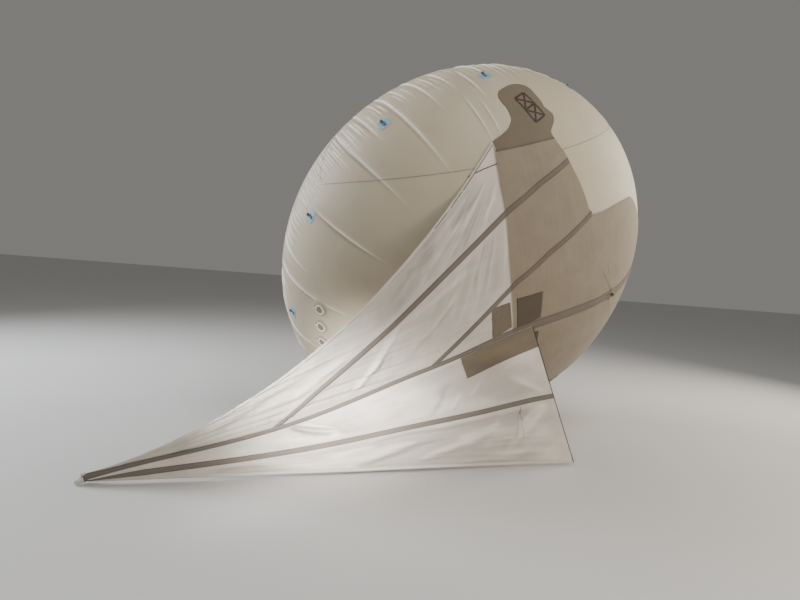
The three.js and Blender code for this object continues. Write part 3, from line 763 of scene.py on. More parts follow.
def resample(points, count):
    """A smooth line through points, evenly stepped."""
    points = np.array(points, float)
    padded = np.vstack([2 * points[0] - points[1], points, 2 * points[-1] - points[-2]])
    t = np.linspace(0, 1, 24, endpoint=False)[:, None]
    fine = []
    for p0, p1, p2, p3 in zip(padded, padded[1:], padded[2:], padded[3:]):
        fine.append(0.5 * (2 * p1 + (p2 - p0) * t + (2 * p0 - 5 * p1 + 4 * p2 - p3) * t**2
                           + (3 * p1 - p0 - 3 * p2 + p3) * t**3))
    fine = np.vstack([*fine, points[-1:]])
    reach = np.concatenate([[0], np.cumsum(np.linalg.norm(np.diff(fine, axis=0), axis=1))])
    steps = np.linspace(0, reach[-1], count)
    return np.stack([np.interp(steps, reach, fine[:, k]) for k in range(points.shape[1])], -1)


def in_metres(profile):
    return [(radius * 0.001, height * 0.001) for radius, height in profile]


def lathe(profile, segments=64):
    """Vertices and faces of a closed ring-shaped or disc-shaped profile of radius and height pairs."""
    vertices, rows = [], []
    for radius, height in profile:
        if radius < 1e-7:
            rows.append([len(vertices)] * segments)
            vertices.append((0.0, 0.0, height))
            continue
        rows.append(list(range(len(vertices), len(vertices) + segments)))
        angles = [2 * math.pi * i / segments for i in range(segments)]
        vertices += [(radius * math.cos(a), radius * math.sin(a), height) for a in angles]
    faces = []
    pairs = list(zip(rows, rows[1:] + ([rows[0]] if profile[0][0] > 1e-7 else [])))
    for low, high in pairs:
        for i in range(segments):
            j = (i + 1) % segments
            face = [low[i], low[j], high[j], high[i]]
            face = [v for k, v in enumerate(face) if v != face[k - 1]]
            if len(face) > 2:
                faces.append(face)
    return vertices, faces


class Build:
    """Collects closed shapes into one mesh."""

    def __init__(self):
        self.vertices, self.faces = [], []

    def put(self, vertices, faces, matrix=None):
        base = len(self.vertices)
        for v in vertices:
            self.vertices.append(tuple(matrix @ Vector(v)) if matrix else tuple(v))
        self.faces += [[base + i for i in face] for face in faces]
        return self

    def lathe(self, profile, matrix=None, segments=64):
        return self.put(*lathe(profile, segments), matrix)

    def block(self, low, high, bevel, matrix):
        """A box with rounded edges."""
        bm = bmesh.new()
        bmesh.ops.create_cube(bm, size=1)
        for v in bm.verts:
            v.co = Vector([(a + b) / 2 + (b - a) * c for a, b, c in zip(low, high, v.co)])
        bmesh.ops.bevel(bm, geom=bm.edges[:], offset=bevel, segments=2, affect="EDGES", profile=0.6)
        bm.verts.index_update()
        self.put([v.co[:] for v in bm.verts], [[v.index for v in f.verts] for f in bm.faces], matrix)
        bm.free()
        return self

    def tube(self, path, radius, sides):
        """A closed round tube along points."""
        path = [Vector(p) for p in path]
        rings = []
        base = len(self.vertices)
        side = None
        for i, p in enumerate(path):
            ahead = (path[min(i + 1, len(path) - 1)] - path[max(i - 1, 0)]).normalized()
            if side is None:
                side = ahead.orthogonal().normalized()
            side = (side - ahead * side.dot(ahead)).normalized()
            up = ahead.cross(side)
            rings.append([base + i * sides + k for k in range(sides)])
            for k in range(sides):
                a = 2 * math.pi * k / sides
                self.vertices.append(tuple(p + radius * (math.cos(a) * side + math.sin(a) * up)))
        for low, high in zip(rings, rings[1:]):
            for k in range(sides):
                j = (k + 1) % sides
                self.faces.append([low[k], low[j], high[j], high[k]])
        self.faces += [rings[0][::-1], rings[-1]]
        return self

    def finish(self, name, material, slot, body=BODY):
        piece = mesh_object(name, self.vertices, self.faces, None, material, body)
        bm = bmesh.new()
        bm.from_mesh(piece.data)
        bmesh.ops.recalc_face_normals(bm, faces=bm.faces[:])
        bm.to_mesh(piece.data)
        bm.free()
        piece.data.set_sharp_from_angle(angle=math.radians(38))
        return piece


# Shader groups and materials
def new_group(name, inputs, outputs):
    group = bpy.data.node_groups.new(name, "ShaderNodeTree")
    for label, kind, default in inputs:
        socket = group.interface.new_socket(name=label, in_out="INPUT", socket_type=kind)
        if default is not None:
            socket.default_value = default
    for label, kind in outputs:
        group.interface.new_socket(name=label, in_out="OUTPUT", socket_type=kind)
    return group, group.nodes.new("NodeGroupInput"), group.nodes.new("NodeGroupOutput")


def feed(tree, made, inputs):
    """Links sockets to a node's inputs, and sets plain values on them."""
    for key, value in inputs.items():
        if isinstance(value, bpy.types.NodeSocket):
            tree.links.new(value, made.inputs[key])
        else:
            made.inputs[key].default_value = value


def node(tree, kind, inputs=(), **settings):
    made = tree.nodes.new(kind)
    for key, value in settings.items():
        setattr(made, key, value)
    feed(tree, made, dict(inputs))
    return made


def maths(tree, operation, a, b=0.0, c=0.0):
    return node(tree, "ShaderNodeMath", {0: a, 1: b, 2: c}, operation=operation).outputs[0]


def ranged(tree, value, low=0.0, high=1.0, to_low=0.0, to_high=1.0):
    """A value mapped from one range to another and kept inside it."""
    return node(tree, "ShaderNodeMapRange", {
        "Value": value, "From Min": low, "From Max": high, "To Min": to_low, "To Max": to_high}).outputs[0]


def attribute(tree, name):
    return node(tree, "ShaderNodeAttribute", attribute_name=name).outputs["Fac"]


def noise(tree, vector, scale, detail, **more):
    inputs = {"Vector": vector, "Scale": scale, "Detail": detail, **more}
    return node(tree, "ShaderNodeTexNoise", inputs).outputs[0]


def mix_colour(tree, factor, a, b):
    return node(tree, "ShaderNodeMix", {0: factor, 6: a, 7: b}, data_type="RGBA").outputs[2]


def rgba(colour, scale=1.0):
    return (*[min(1.0, c * scale) for c in colour], 1.0)


def shades(tree, factor, colour, dark, light):
    """A colour that goes from one share of itself to another."""
    return mix_colour(tree, factor, rgba(colour, dark), rgba(colour, light))


def use_group(tree, group, **inputs):
    return node(tree, "ShaderNodeGroup", inputs, node_tree=group)


def weave_group():
    """Ripstop: fine threads with a thicker thread at each grid line."""
    group, inside, out = new_group(
        "Ripstop weave",
        [("Pattern", "NodeSocketVector", None), ("Grid", "NodeSocketFloat", 0.006)],
        [("Height", "NodeSocketFloat"), ("Grid lines", "NodeSocketFloat")])
    parts = node(group, "ShaderNodeSeparateXYZ", {0: inside.outputs["Pattern"]})
    lines = []
    threads = []
    for axis in ("X", "Y"):
        cell = maths(group, "DIVIDE", parts.outputs[axis], inside.outputs["Grid"])
        off = maths(group, "ABSOLUTE", maths(group, "SUBTRACT", maths(group, "FRACT", cell), 0.5))
        lines.append(maths(group, "SMOOTH_MAX", maths(group, "MULTIPLY_ADD", off, -16.0, 1.0), 0.0, 0.1))
        threads.append(maths(group, "SINE", maths(group, "MULTIPLY", cell, 2 * math.pi * 9)))
    grid = maths(group, "MAXIMUM", lines[0], lines[1])
    fine = maths(group, "MULTIPLY", maths(group, "MULTIPLY", threads[0], threads[1]), 0.12)
    feed(group, out, {"Height": maths(group, "ADD", grid, fine), "Grid lines": grid})
    return group


def crumple_group():
    """Soft small creases and cloudy unevenness of thin sheet."""
    group, inside, out = new_group(
        "Thin sheet crumple",
        [("Position", "NodeSocketVector", None), ("Scale", "NodeSocketFloat", 6.0),
         ("Sharpness", "NodeSocketFloat", 0.5)],
        [("Height", "NodeSocketFloat"), ("Clouds", "NodeSocketFloat")])
    place, scale = inside.outputs["Position"], inside.outputs["Scale"]
    broad = noise(group, place, scale, 3.0, Roughness=0.55, Distortion=0.6)
    fine = noise(group, place, maths(group, "MULTIPLY", scale, 4.3), 4.0)
    fold = maths(group, "ABSOLUTE", maths(group, "SUBTRACT", broad, 0.5))
    ridged = maths(group, "MULTIPLY", maths(group, "SUBTRACT", 0.5, fold), inside.outputs["Sharpness"])
    feed(group, out, {
        "Height": maths(group, "MULTIPLY_ADD", fine, 0.35, ridged), "Clouds": ranged(group, broad, 0.3, 0.7)})
    return group


def stitch_group():
    """Two rows of dashed stitches either side of a strip's middle, on a pattern of along and across."""
    group, inside, out = new_group(
        "Stitch rows",
        [("Pattern", "NodeSocketVector", None), ("Offset", "NodeSocketFloat", 0.018),
         ("Pitch", "NodeSocketFloat", 0.009)],
        [("Stitch", "NodeSocketFloat"), ("Groove", "NodeSocketFloat")])
    parts = node(group, "ShaderNodeSeparateXYZ", {0: inside.outputs["Pattern"]})
    across = maths(group, "ABSOLUTE", parts.outputs["Y"])
    away = maths(group, "ABSOLUTE", maths(group, "SUBTRACT", across, inside.outputs["Offset"]))
    dash = maths(group, "FRACT", maths(group, "DIVIDE", parts.outputs["X"], inside.outputs["Pitch"]))
    on = ranged(group, maths(group, "ABSOLUTE", maths(group, "SUBTRACT", dash, 0.5)), 0.40, 0.33)
    line = ranged(group, away, 0.0014, 0.0006)
    feed(group, out, {
        "Stitch": maths(group, "MULTIPLY", line, on), "Groove": ranged(group, away, 0.0045, 0.0005)})
    return group


def new_material(name):
    material = bpy.data.materials.new(name)
    material.use_nodes = True
    return material, material.node_tree, material.node_tree.nodes["Principled BSDF"]


def bump_node(tree, height, distance, strength):
    made = node(tree, "ShaderNodeBump", {"Height": height, "Distance": distance, "Strength": strength})
    return made.outputs["Normal"]


def tinted(colour, share):
    return [c * share for c in colour]


class Finishes:
    """The materials, made once."""

    def __init__(self, settings):
        self.grid = settings.cloth.grid
        self.weave, self.crumple, self.stitch = weave_group(), crumple_group(), stitch_group()
        film, cloth, trim = settings.film.colour, settings.cloth, settings.trim
        laid = cloth.laid_shade_colour
        self.film = self.make_film("Milky film", film, crease_light_and_shade=True)
        self.plain_film = self.make_film("Film trim", film)
        self.weld = self.make_film("Welded film", tinted(film, 0.62), crimped=1.0)
        # The laid colour is painted shade: sail, strips and hem turn to it where they lie on the film, and
        # the cloth on the film is drawn in it throughout
        self.sail = self.make_cloth("Ripstop sail", cloth.colour, laid)
        self.laid = self.make_cloth("Ripstop on film", laid, laid)
        # Doublers and the shoulder cloth are drawn in tints of the laid shade colour: extra layers of cloth,
        # with their dark colour painted shade, deeper than on the other laid cloth
        self.double = self.make_cloth("Doubled ripstop", tinted(laid, 0.38))
        self.shoulder = self.make_cloth("Shoulder ripstop", tinted(laid, 0.70))
        self.keel_double = self.make_cloth("Doubled keel cloth", tinted(laid, 0.70))
        self.strip = self.make_cloth("Sewn strip", cloth.strip_colour, cloth.laid_strip_shade_colour, True)
        self.hem = self.make_cloth("Sewn hem", cloth.colour, laid, True)
        self.tab = self.make_tab("Tab patch", trim.tab_colour)
        self.webbing = self.make_webbing("Webbing", trim.webbing_colour)
        self.valve = self.make_plastic("Valve plastic", trim.valve_colour, 0.36)
        self.flange = self.make_plastic("Flange plastic", tinted(film, 0.78), 0.50)
        # Painted shade for the lids' wells: a dark tint of the film
        self.well_shade = self.make_plastic("Lid well", tinted(film, 0.42), 0.55)
        self.cord = self.make_cord("Braided cord", (0.030, 0.032, 0.038))
        self.thread = self.make_cord("Thread", (0.075, 0.062, 0.050))

    def make_film(self, name, colour, crimped=0.0, crease_light_and_shade=False):
        material, tree, shader = new_material(name)
        place = node(tree, "ShaderNodeTexCoord").outputs["Object"]
        clouds = use_group(tree, self.crumple, Position=place, Scale=2.2, Sharpness=0.6).outputs["Clouds"]
        tint = shades(tree, clouds, colour, 0.95, 1.05)
        if crease_light_and_shade:
            # Painted highlight on the creases' ridges and painted shade in the dips beside them
            crease_shading = attribute(tree, "crease_light_and_shade")
            tint = mix_colour(tree, ranged(tree, crease_shading, 0.5, 0.95), tint, (0.90, 0.86, 0.76, 1.0))
            tint = mix_colour(tree, ranged(tree, crease_shading, 0.5, 0.2, 0.0, 0.6), tint, rgba(colour, 0.62))
        fine = use_group(tree, self.crumple, Position=place, Scale=14.0 + 60.0 * crimped, Sharpness=0.8)
        feed(tree, shader, {
            "Base Color": tint,
            "Roughness": ranged(tree, clouds, to_low=0.50, to_high=0.62),
            "Normal": bump_node(tree, fine.outputs["Height"], 0.004, 0.10 + 0.4 * crimped),
            "Subsurface Weight": 0.12,
            "Subsurface Radius": (0.08, 0.06, 0.04),
            "Specular IOR Level": 0.35,
        })
        return material

    def make_cloth(self, name, colour, laid_shade_colour=None, stitched=False):
        material, tree, shader = new_material(name)
        coordinates = node(tree, "ShaderNodeTexCoord")
        pattern, place = coordinates.outputs["UV"], coordinates.outputs["Object"]
        weave = use_group(tree, self.weave, Pattern=pattern, Grid=self.grid)
        soft = use_group(tree, self.crumple, Position=place, Scale=5.0, Sharpness=0.7)
        clouds, lines = soft.outputs["Clouds"], weave.outputs["Grid lines"]
        base = shades(tree, clouds, colour, 0.95, 1.05)
        # Painted shade: where the laid attribute is one the cloth takes the darker laid shade colour, with
        # streaky random tone
        if laid_shade_colour is not None:
            stretched = node(tree, "ShaderNodeMapping", {"Vector": pattern, "Scale": (42.0, 2.2, 1.0)})
            cloudy = maths(tree, "MULTIPLY_ADD", clouds, 0.5, -0.2)
            streaks = maths(tree, "MULTIPLY_ADD", noise(tree, stretched.outputs[0], 1.0, 3.0), 0.9, cloudy)
            dark = shades(tree, streaks, laid_shade_colour, 0.84, 1.14)
            base = mix_colour(tree, attribute(tree, "laid"), base, dark)
        # Painted highlight on fold crests and painted shade in fold valleys, from the crest attribute
        crest = attribute(tree, "crest")
        base = mix_colour(tree, ranged(tree, crest, 0.1, -1.0, 0.0, 0.75), base, rgba(colour, 0.66))
        base = mix_colour(tree, ranged(tree, crest, 0.1, 1.0, 0.0, 0.65), base, rgba(colour, 1.26))
        base = mix_colour(tree, maths(tree, "MULTIPLY", lines, 0.10), base, rgba(colour, 0.55))
        height = maths(tree, "MULTIPLY_ADD", soft.outputs["Height"], 6.0, weave.outputs["Height"])
        if stitched:
            rows = use_group(tree, self.stitch, Pattern=pattern)
            base = mix_colour(tree, rows.outputs["Stitch"], base, rgba(colour, 0.45))
            height = maths(tree, "SUBTRACT", height, maths(tree, "MULTIPLY", rows.outputs["Groove"], 2.0))
        feed(tree, shader, {
            "Base Color": base,
            "Roughness": ranged(tree, lines, to_low=0.78, to_high=0.66),
            "Normal": bump_node(tree, height, 0.0006, 0.8),
            "Sheen Weight": 0.15,
            "Specular IOR Level": 0.25,
        })
        return material

    def make_tab(self, name, colour):
        material, tree, shader = new_material(name)
        coordinates = node(tree, "ShaderNodeTexCoord")
        pattern, place = coordinates.outputs["UV"], coordinates.outputs["Object"]
        weave = use_group(tree, self.weave, Pattern=pattern, Grid=0.004)
        soft = use_group(tree, self.crumple, Position=place, Scale=16.0, Sharpness=0.6)
        base = shades(tree, soft.outputs["Clouds"], colour, 0.88, 1.12)
        lines = maths(tree, "MULTIPLY", weave.outputs["Grid lines"], 0.2)
        height = maths(tree, "MULTIPLY_ADD", soft.outputs["Height"], 4.0, weave.outputs["Height"])
        feed(tree, shader, {
            "Base Color": mix_colour(tree, lines, base, rgba(colour, 0.6)),
            "Normal": bump_node(tree, height, 0.0006, 0.8),
            "Roughness": 0.48,
        })
        return material

    def make_webbing(self, name, colour):
        material, tree, shader = new_material(name)
        pattern = node(tree, "ShaderNodeTexCoord").outputs["UV"]
        along, across = node(tree, "ShaderNodeSeparateXYZ", {0: pattern}).outputs[:2]
        slanted = maths(tree, "ADD", along, maths(tree, "ABSOLUTE", across))
        slant = maths(tree, "SINE", maths(tree, "MULTIPLY", slanted, 2 * math.pi / 0.0024))
        ribs = maths(tree, "SINE", maths(tree, "MULTIPLY", across, 2 * math.pi / 0.003))
        height = maths(tree, "MULTIPLY_ADD", slant, 0.6, ribs)
        feed(tree, shader, {
            "Base Color": shades(tree, ranged(tree, height, -1.6, 1.6), colour, 0.7, 1.7),
            "Normal": bump_node(tree, height, 0.0004, 0.9),
            "Roughness": 0.62,
            "Sheen Weight": 0.3,
        })
        return material

    def make_plastic(self, name, colour, roughness):
        material, tree, shader = new_material(name)
        place = node(tree, "ShaderNodeTexCoord").outputs["Object"]
        clouds = use_group(tree, self.crumple, Position=place, Scale=40.0, Sharpness=0.4).outputs["Clouds"]
        feed(tree, shader, {
            "Base Color": shades(tree, clouds, colour, 0.94, 1.05),
            "Roughness": ranged(tree, clouds, to_low=roughness, to_high=roughness + 0.1),
            "Normal": bump_node(tree, noise(tree, place, 900.0, 2.0), 0.00012, 0.6),
        })
        return material

    def make_cord(self, name, colour):
        material, tree, shader = new_material(name)
        place = node(tree, "ShaderNodeTexCoord").outputs["Object"]
        wave = {"Vector": place, "Scale": 160.0, "Distortion": 2.0, "Detail": 2.0}
        strands = node(tree, "ShaderNodeTexWave", wave, bands_direction="DIAGONAL").outputs["Fac"]
        feed(tree, shader, {
            "Base Color": shades(tree, strands, colour, 0.7, 1.9),
            "Normal": bump_node(tree, strands, 0.0006, 0.9),
            "Roughness": 0.75,
        })
        return material


MADE = {}


def finishes(context):
    if "finishes" not in MADE:
        MADE["finishes"] = Finishes(context.scene.kite_balloon)
    return MADE["finishes"]


def pleats(context):
    if "pleats" not in MADE:
        MADE["pleats"] = Pleats(context.scene.kite_balloon.film)
    return MADE["pleats"]


def folds_of(context):
    return context.scene.kite_balloon.cloth.fold_scale


# Operators
class KITEBALLOON_OT_film(bpy.types.Operator):
    """Upper and lower film of the envelope, with creases and gathers at the rim"""

    bl_idname = "kiteballoon.film"
    bl_label = "Envelope film"

    def execute(self, context):
        relief = pleats(context)
        around = relief.columns()[:, None]
        for name, sign, fine, replaced in (
                ("film_upper", 1, 2.0, "envelope_top"), ("film_underside", -1, 0.6, "envelope_underside")):
            bands = ((0, 14, 1.1), (14, 18, 2.0), (18, 26, fine), (26, 38, 2.0), (38, LAST_RING, 4.6))
            degrees = np.concatenate([np.arange(*band) for band in bands] + [[LAST_RING]])
            azimuth, latitude = np.broadcast_arrays(around, sign * np.radians(degrees)[None, :])
            columns, rings = azimuth.shape
            points = relief.point(azimuth, latitude).reshape(-1, 3)
            tip = to_pose(np.array([0, 0, sign * HALF_DEPTH]))
            vertices = np.concatenate([points, [tip]])
            last = np.arange(columns) * rings + rings - 1
            faces = [list(f) for f in grid_faces(columns, rings, closed=True)]
            faces += [[a, b, len(points)] for a, b in zip(last, np.roll(last, -1))]
            if sign > 0:
                faces = [f[::-1] for f in faces]
            else:
                faces = self.with_holes(vertices, faces)
            piece = mesh_object(name, vertices, faces, None, finishes(context).film)
            # The creases' painted highlight and shade, kept per vertex for the film's colour
            set_attribute(piece, "crease_light_and_shade", np.append(relief.crease_highlight_and_shade(azimuth, latitude).ravel(), 0.5))
            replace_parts(piece, replaced)
        return {"FINISHED"}

    def with_holes(self, vertices, faces):
        """Leaves the film open under the valves, where their flanges hide its edge."""
        quads = np.array([f if len(f) == 4 else f + [f[-1]] for f in faces])
        centres = vertices[quads].mean(axis=1)
        keep = np.ones(len(quads), dtype=bool)
        for p, q in VALVES:
            middle = np.array(valve_frame(p, q).translation)
            keep &= np.linalg.norm(centres - middle, axis=1) > VALVE_HOLE
        return [f for f, k in zip(faces, keep) if k]


class KITEBALLOON_OT_welds(bpy.types.Operator):
    """Welded band round the rim and the weld lines across the film"""

    bl_idname = "kiteballoon.welds"
    bl_label = "Welded seams"

    def execute(self, context):
        relief, look = pleats(context), finishes(context)
        azimuth = np.append(relief.columns(), 2 * math.pi)[:, None]
        latitude = np.array([-0.0032, -0.0010, 0.0010, 0.0032])[None, :]
        azimuth, latitude = np.broadcast_arrays(azimuth, latitude)
        points = relief.point(azimuth, latitude, np.array([0.0001, 0.0009, 0.0009, 0.0001])[None, :])
        u, v = azimuth * RADIUS, latitude * HALF_DEPTH
        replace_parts(grid_object("rim_weld", points, u, v, look.plain_film, "film"), "rim_seam")
        reach = math.sqrt(WELD_REACH**2 - WELD_Q**2)
        for name, q0, face in (("weld_right", WELD_Q, 1), ("weld_left", -WELD_Q, 1),
                               ("weld_upper_right", WELD_Q, -1), ("weld_upper_left", -WELD_Q, -1)):
            p = np.linspace(-reach, reach, 420)[:, None]
            q = q0 + WELD_HALF * np.linspace(-1, 1, 3)[None, :]
            p, q = np.broadcast_arrays(p, q)
            points = relief.point(np.arctan2(q, p), face * latitude_at(np.hypot(p, q)), 0.0012)
            grid_object(name, points, p, q - q0, look.weld, "film")
        return {"FINISHED"}


class KITEBALLOON_OT_tabs(bpy.types.Operator):
    """Handling tabs round the rim, each a patch with a sewn webbing loop"""

    bl_idname = "kiteballoon.tabs"
    bl_label = "Rim tabs"

    def execute(self, context):
        relief, look = pleats(context), finishes(context)
        s = np.linspace(-1, 1, 19)
        u, v = np.meshgrid(s, s, indexing="ij")
        squash = 1 - 0.16 * (np.abs(u * v)) ** 1.5
        arc = TAB_ARC + u * squash * TAB_LENGTH / 2
        edge = 0.0014 * smooth(np.maximum(np.abs(u), np.abs(v)), 1.0, 0.86)
        for i in range(TAB_COUNT):
            middle = i / TAB_COUNT * 2 * math.pi
            azimuth = middle + v * squash * TAB_WIDTH / 2 / RADIUS
            points = relief.point(azimuth, latitude_at(arc), 0.0012 + edge)
            patch = grid_object(
                f"tab_patch_{i + 1:02d}", points, u * TAB_LENGTH / 2, v * TAB_WIDTH / 2, look.tab, "tab")
            thicken(patch, 0.0009, -1.0)
            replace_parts(patch, f"rim_tab_{i + 1:02d}")
            self.loop(f"tab_loop_{i + 1:02d}", middle, look)
        return {"FINISHED"}

    def loop(self, name, middle, look):
        """A folded webbing loop that lies outwards across its patch."""
        base, normal = film_point(np.array(middle), latitude_at(np.array(TAB_ARC)))
        ahead, _ = film_point(np.array(middle), latitude_at(np.array(TAB_ARC + 0.01)))
        out = unit(ahead - base)
        across = np.cross(normal, out)
        sides = (-LOOP_HALF, -LOOP_HALF / 3, LOOP_HALF / 3, LOOP_HALF)
        rows = [[base + out * x + normal * z + across * y for y in sides] for x, z in resample(LOOP_PATH, 34)]
        along = np.linspace(0, 0.16, len(rows))[:, None]
        points = to_pose(np.array(rows))
        loop = grid_object(name, points, along, np.array(sides)[None, :], look.webbing, "tab")
        thicken(loop, 0.0016, 0.0)


class KITEBALLOON_OT_valves(bpy.types.Operator):
    """Filling valves: welded flange, neck and hinged lid"""

    bl_idname = "kiteballoon.valves"
    bl_label = "Filling valves"

    def execute(self, context):
        look = finishes(context)
        for i, (p, q) in enumerate(VALVES, 1):
            place = valve_frame(p, q)
            hinge = place @ Matrix.Translation((0.056, 0, 0.015)) @ Matrix.Rotation(math.pi / 2, 4, "X")
            self.flange(i, place, hinge, look)
            self.lid(i, place, hinge, look)
            self.collar(i, place, look)
        return {"FINISHED"}

    def flange(self, i, place, hinge, look):
        """The ring on the film, with the hinge's ears and pin, and notches round its edge."""
        flange = Build().lathe(in_metres(FLANGE_PROFILE), place)
        for side in (-1, 1):
            low, high = sorted((side * 0.009, side * 0.013))
            flange.block((0.050, low, 0.0065), (0.061, high, 0.0200), 0.0016, place)
        flange.lathe(in_metres(PIN_PROFILE), hinge, 20)
        for k in range(12):
            around = place @ Matrix.Rotation(2 * math.pi * (k + 0.5) / 12, 4, "Z")
            flange.block((0.0630, -0.0022, 0.0014), (0.0652, 0.0022, 0.0060), 0.0006, around)
        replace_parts(flange.finish(f"valve_ring_{i}", look.flange, "valve"), f"valve_flange_{i}")

    def lid(self, i, place, hinge, look):
        """The lid with its knuckle and ribbed thumb tab, and a dark skin of painted shade in the well in its
        middle.
        """
        body = f"lid_{i}"
        lid = Build().lathe(in_metres(LID_PROFILE), place)
        lid.block((0.038, -0.0078, 0.0088), (0.0522, 0.0078, 0.0143), 0.0012, place)
        lid.lathe(in_metres(KNUCKLE_PROFILE), hinge, 28)
        lid.block((-0.0535, -0.010, 0.0092), (-0.0430, 0.010, 0.0124), 0.0014, place)
        for k in range(3):
            x = 0.003 * k
            lid.block((-0.0525 + x, -0.008, 0.0120), (-0.0512 + x, 0.008, 0.0131), 0.0003, place)
        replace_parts(lid.finish(f"valve_cap_{i}", look.valve, "valve", body), f"valve_lid_{i}")
        # A dark skin of painted shade over the lid's well and its nub
        Build().lathe(in_metres(WELL_SHADE_PROFILE), place).finish(f"valve_well_{i}", look.well_shade, "valve", body)

    def collar(self, i, place, look):
        """The round film collar that is welded to the envelope under a flange."""
        bend = Build().lathe(in_metres(COLLAR_PROFILE), None, 96)
        bend.vertices = [tuple(place @ Vector((x, y, z - (x * x + y * y) / 2 / COLLAR_BEND)))
                         for x, y, z in bend.vertices]
        bend.finish(f"valve_collar_{i}", look.plain_film, "film")


def panel(name, inner, outer, start, front, rows, columns, side, context):
    """A panel of cloth between two seams, from its start behind to its front edge."""
    w = np.linspace(0, 1, columns)[None, :]
    back_rows, front_rows = rows
    back = np.linspace(start, LIFT_OFF, back_rows)[:, None] + 0 * w
    ahead = LIFT_OFF + np.linspace(0, 1, front_rows + 1)[1:, None] * (front(w) - LIFT_OFF)
    p = np.vstack([back, ahead])
    low = inner(p)
    high = np.maximum(outer(p), low + 0.002)
    q = low + (high - low) * w
    points = cloth_points(p, q * side, 0.0, folds_of(context))
    laid = laid_mask(p, q)
    # Painted fold light: crest lightens the free cloth on fold crests and darkens it in the valleys
    crest = np.clip(sail_relief(p, q * side, 1.0) / SAIL_CREST, -1, 1) * (1 - laid)
    piece = grid_object(name, points, p, q, finishes(context).sail, "sail", laid, crest)
    return piece, sail(p, q * side)


class KITEBALLOON_OT_wings(bpy.types.Operator):
    """The six panels of the two wings"""

    bl_idname = "kiteballoon.wings"
    bl_label = "Wing panels"

    def execute(self, context):
        for word, side in WING_SIDES:
            def spine(p, side=side):
                return side * spine_q(p)

            def b_inner(p):
                return np.maximum(spine(p), line_q(STRIP_B, p))

            def c_inner(p):
                return np.maximum(spine(p), line_q(STRIP_C, p))

            def nose_outer(p):
                return np.where(p > NOSE_SIDE[0][0], between(NOSE_SIDE, p), line_q(STRIP_C, p))

            def edge_outer(p):
                laid = SHOULDER_SEAM + 0.08 * smooth(p, LIFT_OFF + 0.002, LIFT_OFF)
                return np.where(p < LIFT_OFF, free_edge(p), laid)

            def outer_front(w):
                return between(FRONT_EDGE, STRIP_B_FRONT + (SHOULDER_SEAM - STRIP_B_FRONT) * w)

            def middle_front(w):
                return between(FRONT_EDGE, STRIP_C_FRONT + (STRIP_B_FRONT - STRIP_C_FRONT) * w)

            def inner_front(w):
                return NOSE_SIDE[-1][0] + 0 * w

            rows = (
                ("outer", b_inner, edge_outer, TAIL + 0.06, outer_front, (300, 44), 60),
                ("middle", c_inner, b_inner, -2.60, middle_front, (200, 56), 64),
                ("inner", spine, nose_outer, -1.30, inner_front, (90, 220), 90),
            )
            for part, *shape in rows:
                piece, smooth_points = panel(f"{part}_panel_{word}", *shape, side, context)
                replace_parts(piece, f"wing_{part}_panel_{word}")
        return {"FINISHED"}


def band_on_sail(name, centre, half, reach, side, context, look, lift, thickness, count, columns):
    """A strip of cloth laid along a line of the pattern; look is its material and a slot word that is not
    used.
    """
    p = np.linspace(*reach, count)
    q = centre(p)
    dp, dq = np.gradient(p), np.gradient(q)
    length = np.hypot(dp, dq)
    across = np.linspace(-1, 1, columns)[None, :]
    width = half(p)[:, None] if callable(half) else half
    pp = p[:, None] - (dq / length)[:, None] * across * width
    qq = q[:, None] + (dp / length)[:, None] * across * width
    pp = np.maximum(pp, TAIL + 0.012)
    points = cloth_points(pp, qq * side, lift, folds_of(context))
    along = np.concatenate([[0], np.cumsum(np.hypot(np.diff(p), np.diff(q)))])[:, None]
    piece = grid_object(name, points, along, across * PATTERN_HALF, *look, laid_mask(pp, qq))
    return thicken(piece, thickness, side)


class KITEBALLOON_OT_strips(bpy.types.Operator):
    """Sewn strips over the seams, the spine strip and the hems of the free edges"""

    bl_idname = "kiteballoon.strips"
    bl_label = "Strips and hems"

    def execute(self, context):
        cloth, look = context.scene.kite_balloon.cloth, finishes(context)
        half = cloth.strip_width / 2
        strip, hem = (look.strip, "strip"), (look.hem, "sail")
        edge = LIFT_OFF - 0.004

        def crossing(corners, side):
            p = np.linspace(-3.2, 0, 3200)
            return float(p[np.argmax(line_q(corners, p) > side * spine_q(p))])

        for word, side in WING_SIDES:
            for letter, corners, stop in (("b", STRIP_B, 0.384), ("c", STRIP_C, 0.530)):
                made = band_on_sail(
                    f"seam_strip_{letter}_{word}", lambda p, c=corners: line_q(c, p), half,
                    (crossing(corners, side) - 0.02, stop), side, context, strip, 0.0012, 0.0016, 260, 5)
                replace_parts(made, f"strip_{letter}_{word}")

            def hem_line(p, side=side):
                return np.maximum(free_edge(p) - 0.011, side * spine_q(p) + 0.001)

            start = TAIL + 0.06 if side > 0 else -3.20
            made = band_on_sail(
                f"edge_hem_{word}", hem_line, 0.0115,
                (start, edge), side, context, hem, 0.0010, 0.0022, 320, 4)
            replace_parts(made, f"wing_hem_{word}")
            band_on_sail(
                f"edge_stitch_{word}", lambda p: free_edge(p) - 0.021, 0.0035,
                (-0.95, edge), side, context, strip, 0.0034, 0.0008, 90, 3)
            # A thin dark band across the free cloth's corner: painted shadow of the film's weld line
            band_on_sail(
                f"corner_weld_shadow_{word}", lambda p: line_q(WELD_SHADOW_LINE, p), 0.0045,
                (WELD_SHADOW_LINE[0][0], WELD_SHADOW_LINE[-1][0]), side, context, strip, 0.0012, 0.0010, 40, 3)
            band_on_sail(
                f"shoulder_seam_{word}", lambda p: SHOULDER_SEAM + 0 * p, 0.006,
                (LIFT_OFF + 0.004, 0.306), side, context, strip, 0.0016, 0.0012, 60, 4)
        made = band_on_sail(
            "spine_band", spine_q, lambda p: np.minimum(cloth.spine_width / 2, 0.4 * (p - TAIL)),
            (TAIL + 0.02, 1.800), 1, context, strip, 0.0022, 0.0030, 420, 6)
        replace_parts(made, "spine_strip")
        return {"FINISHED"}


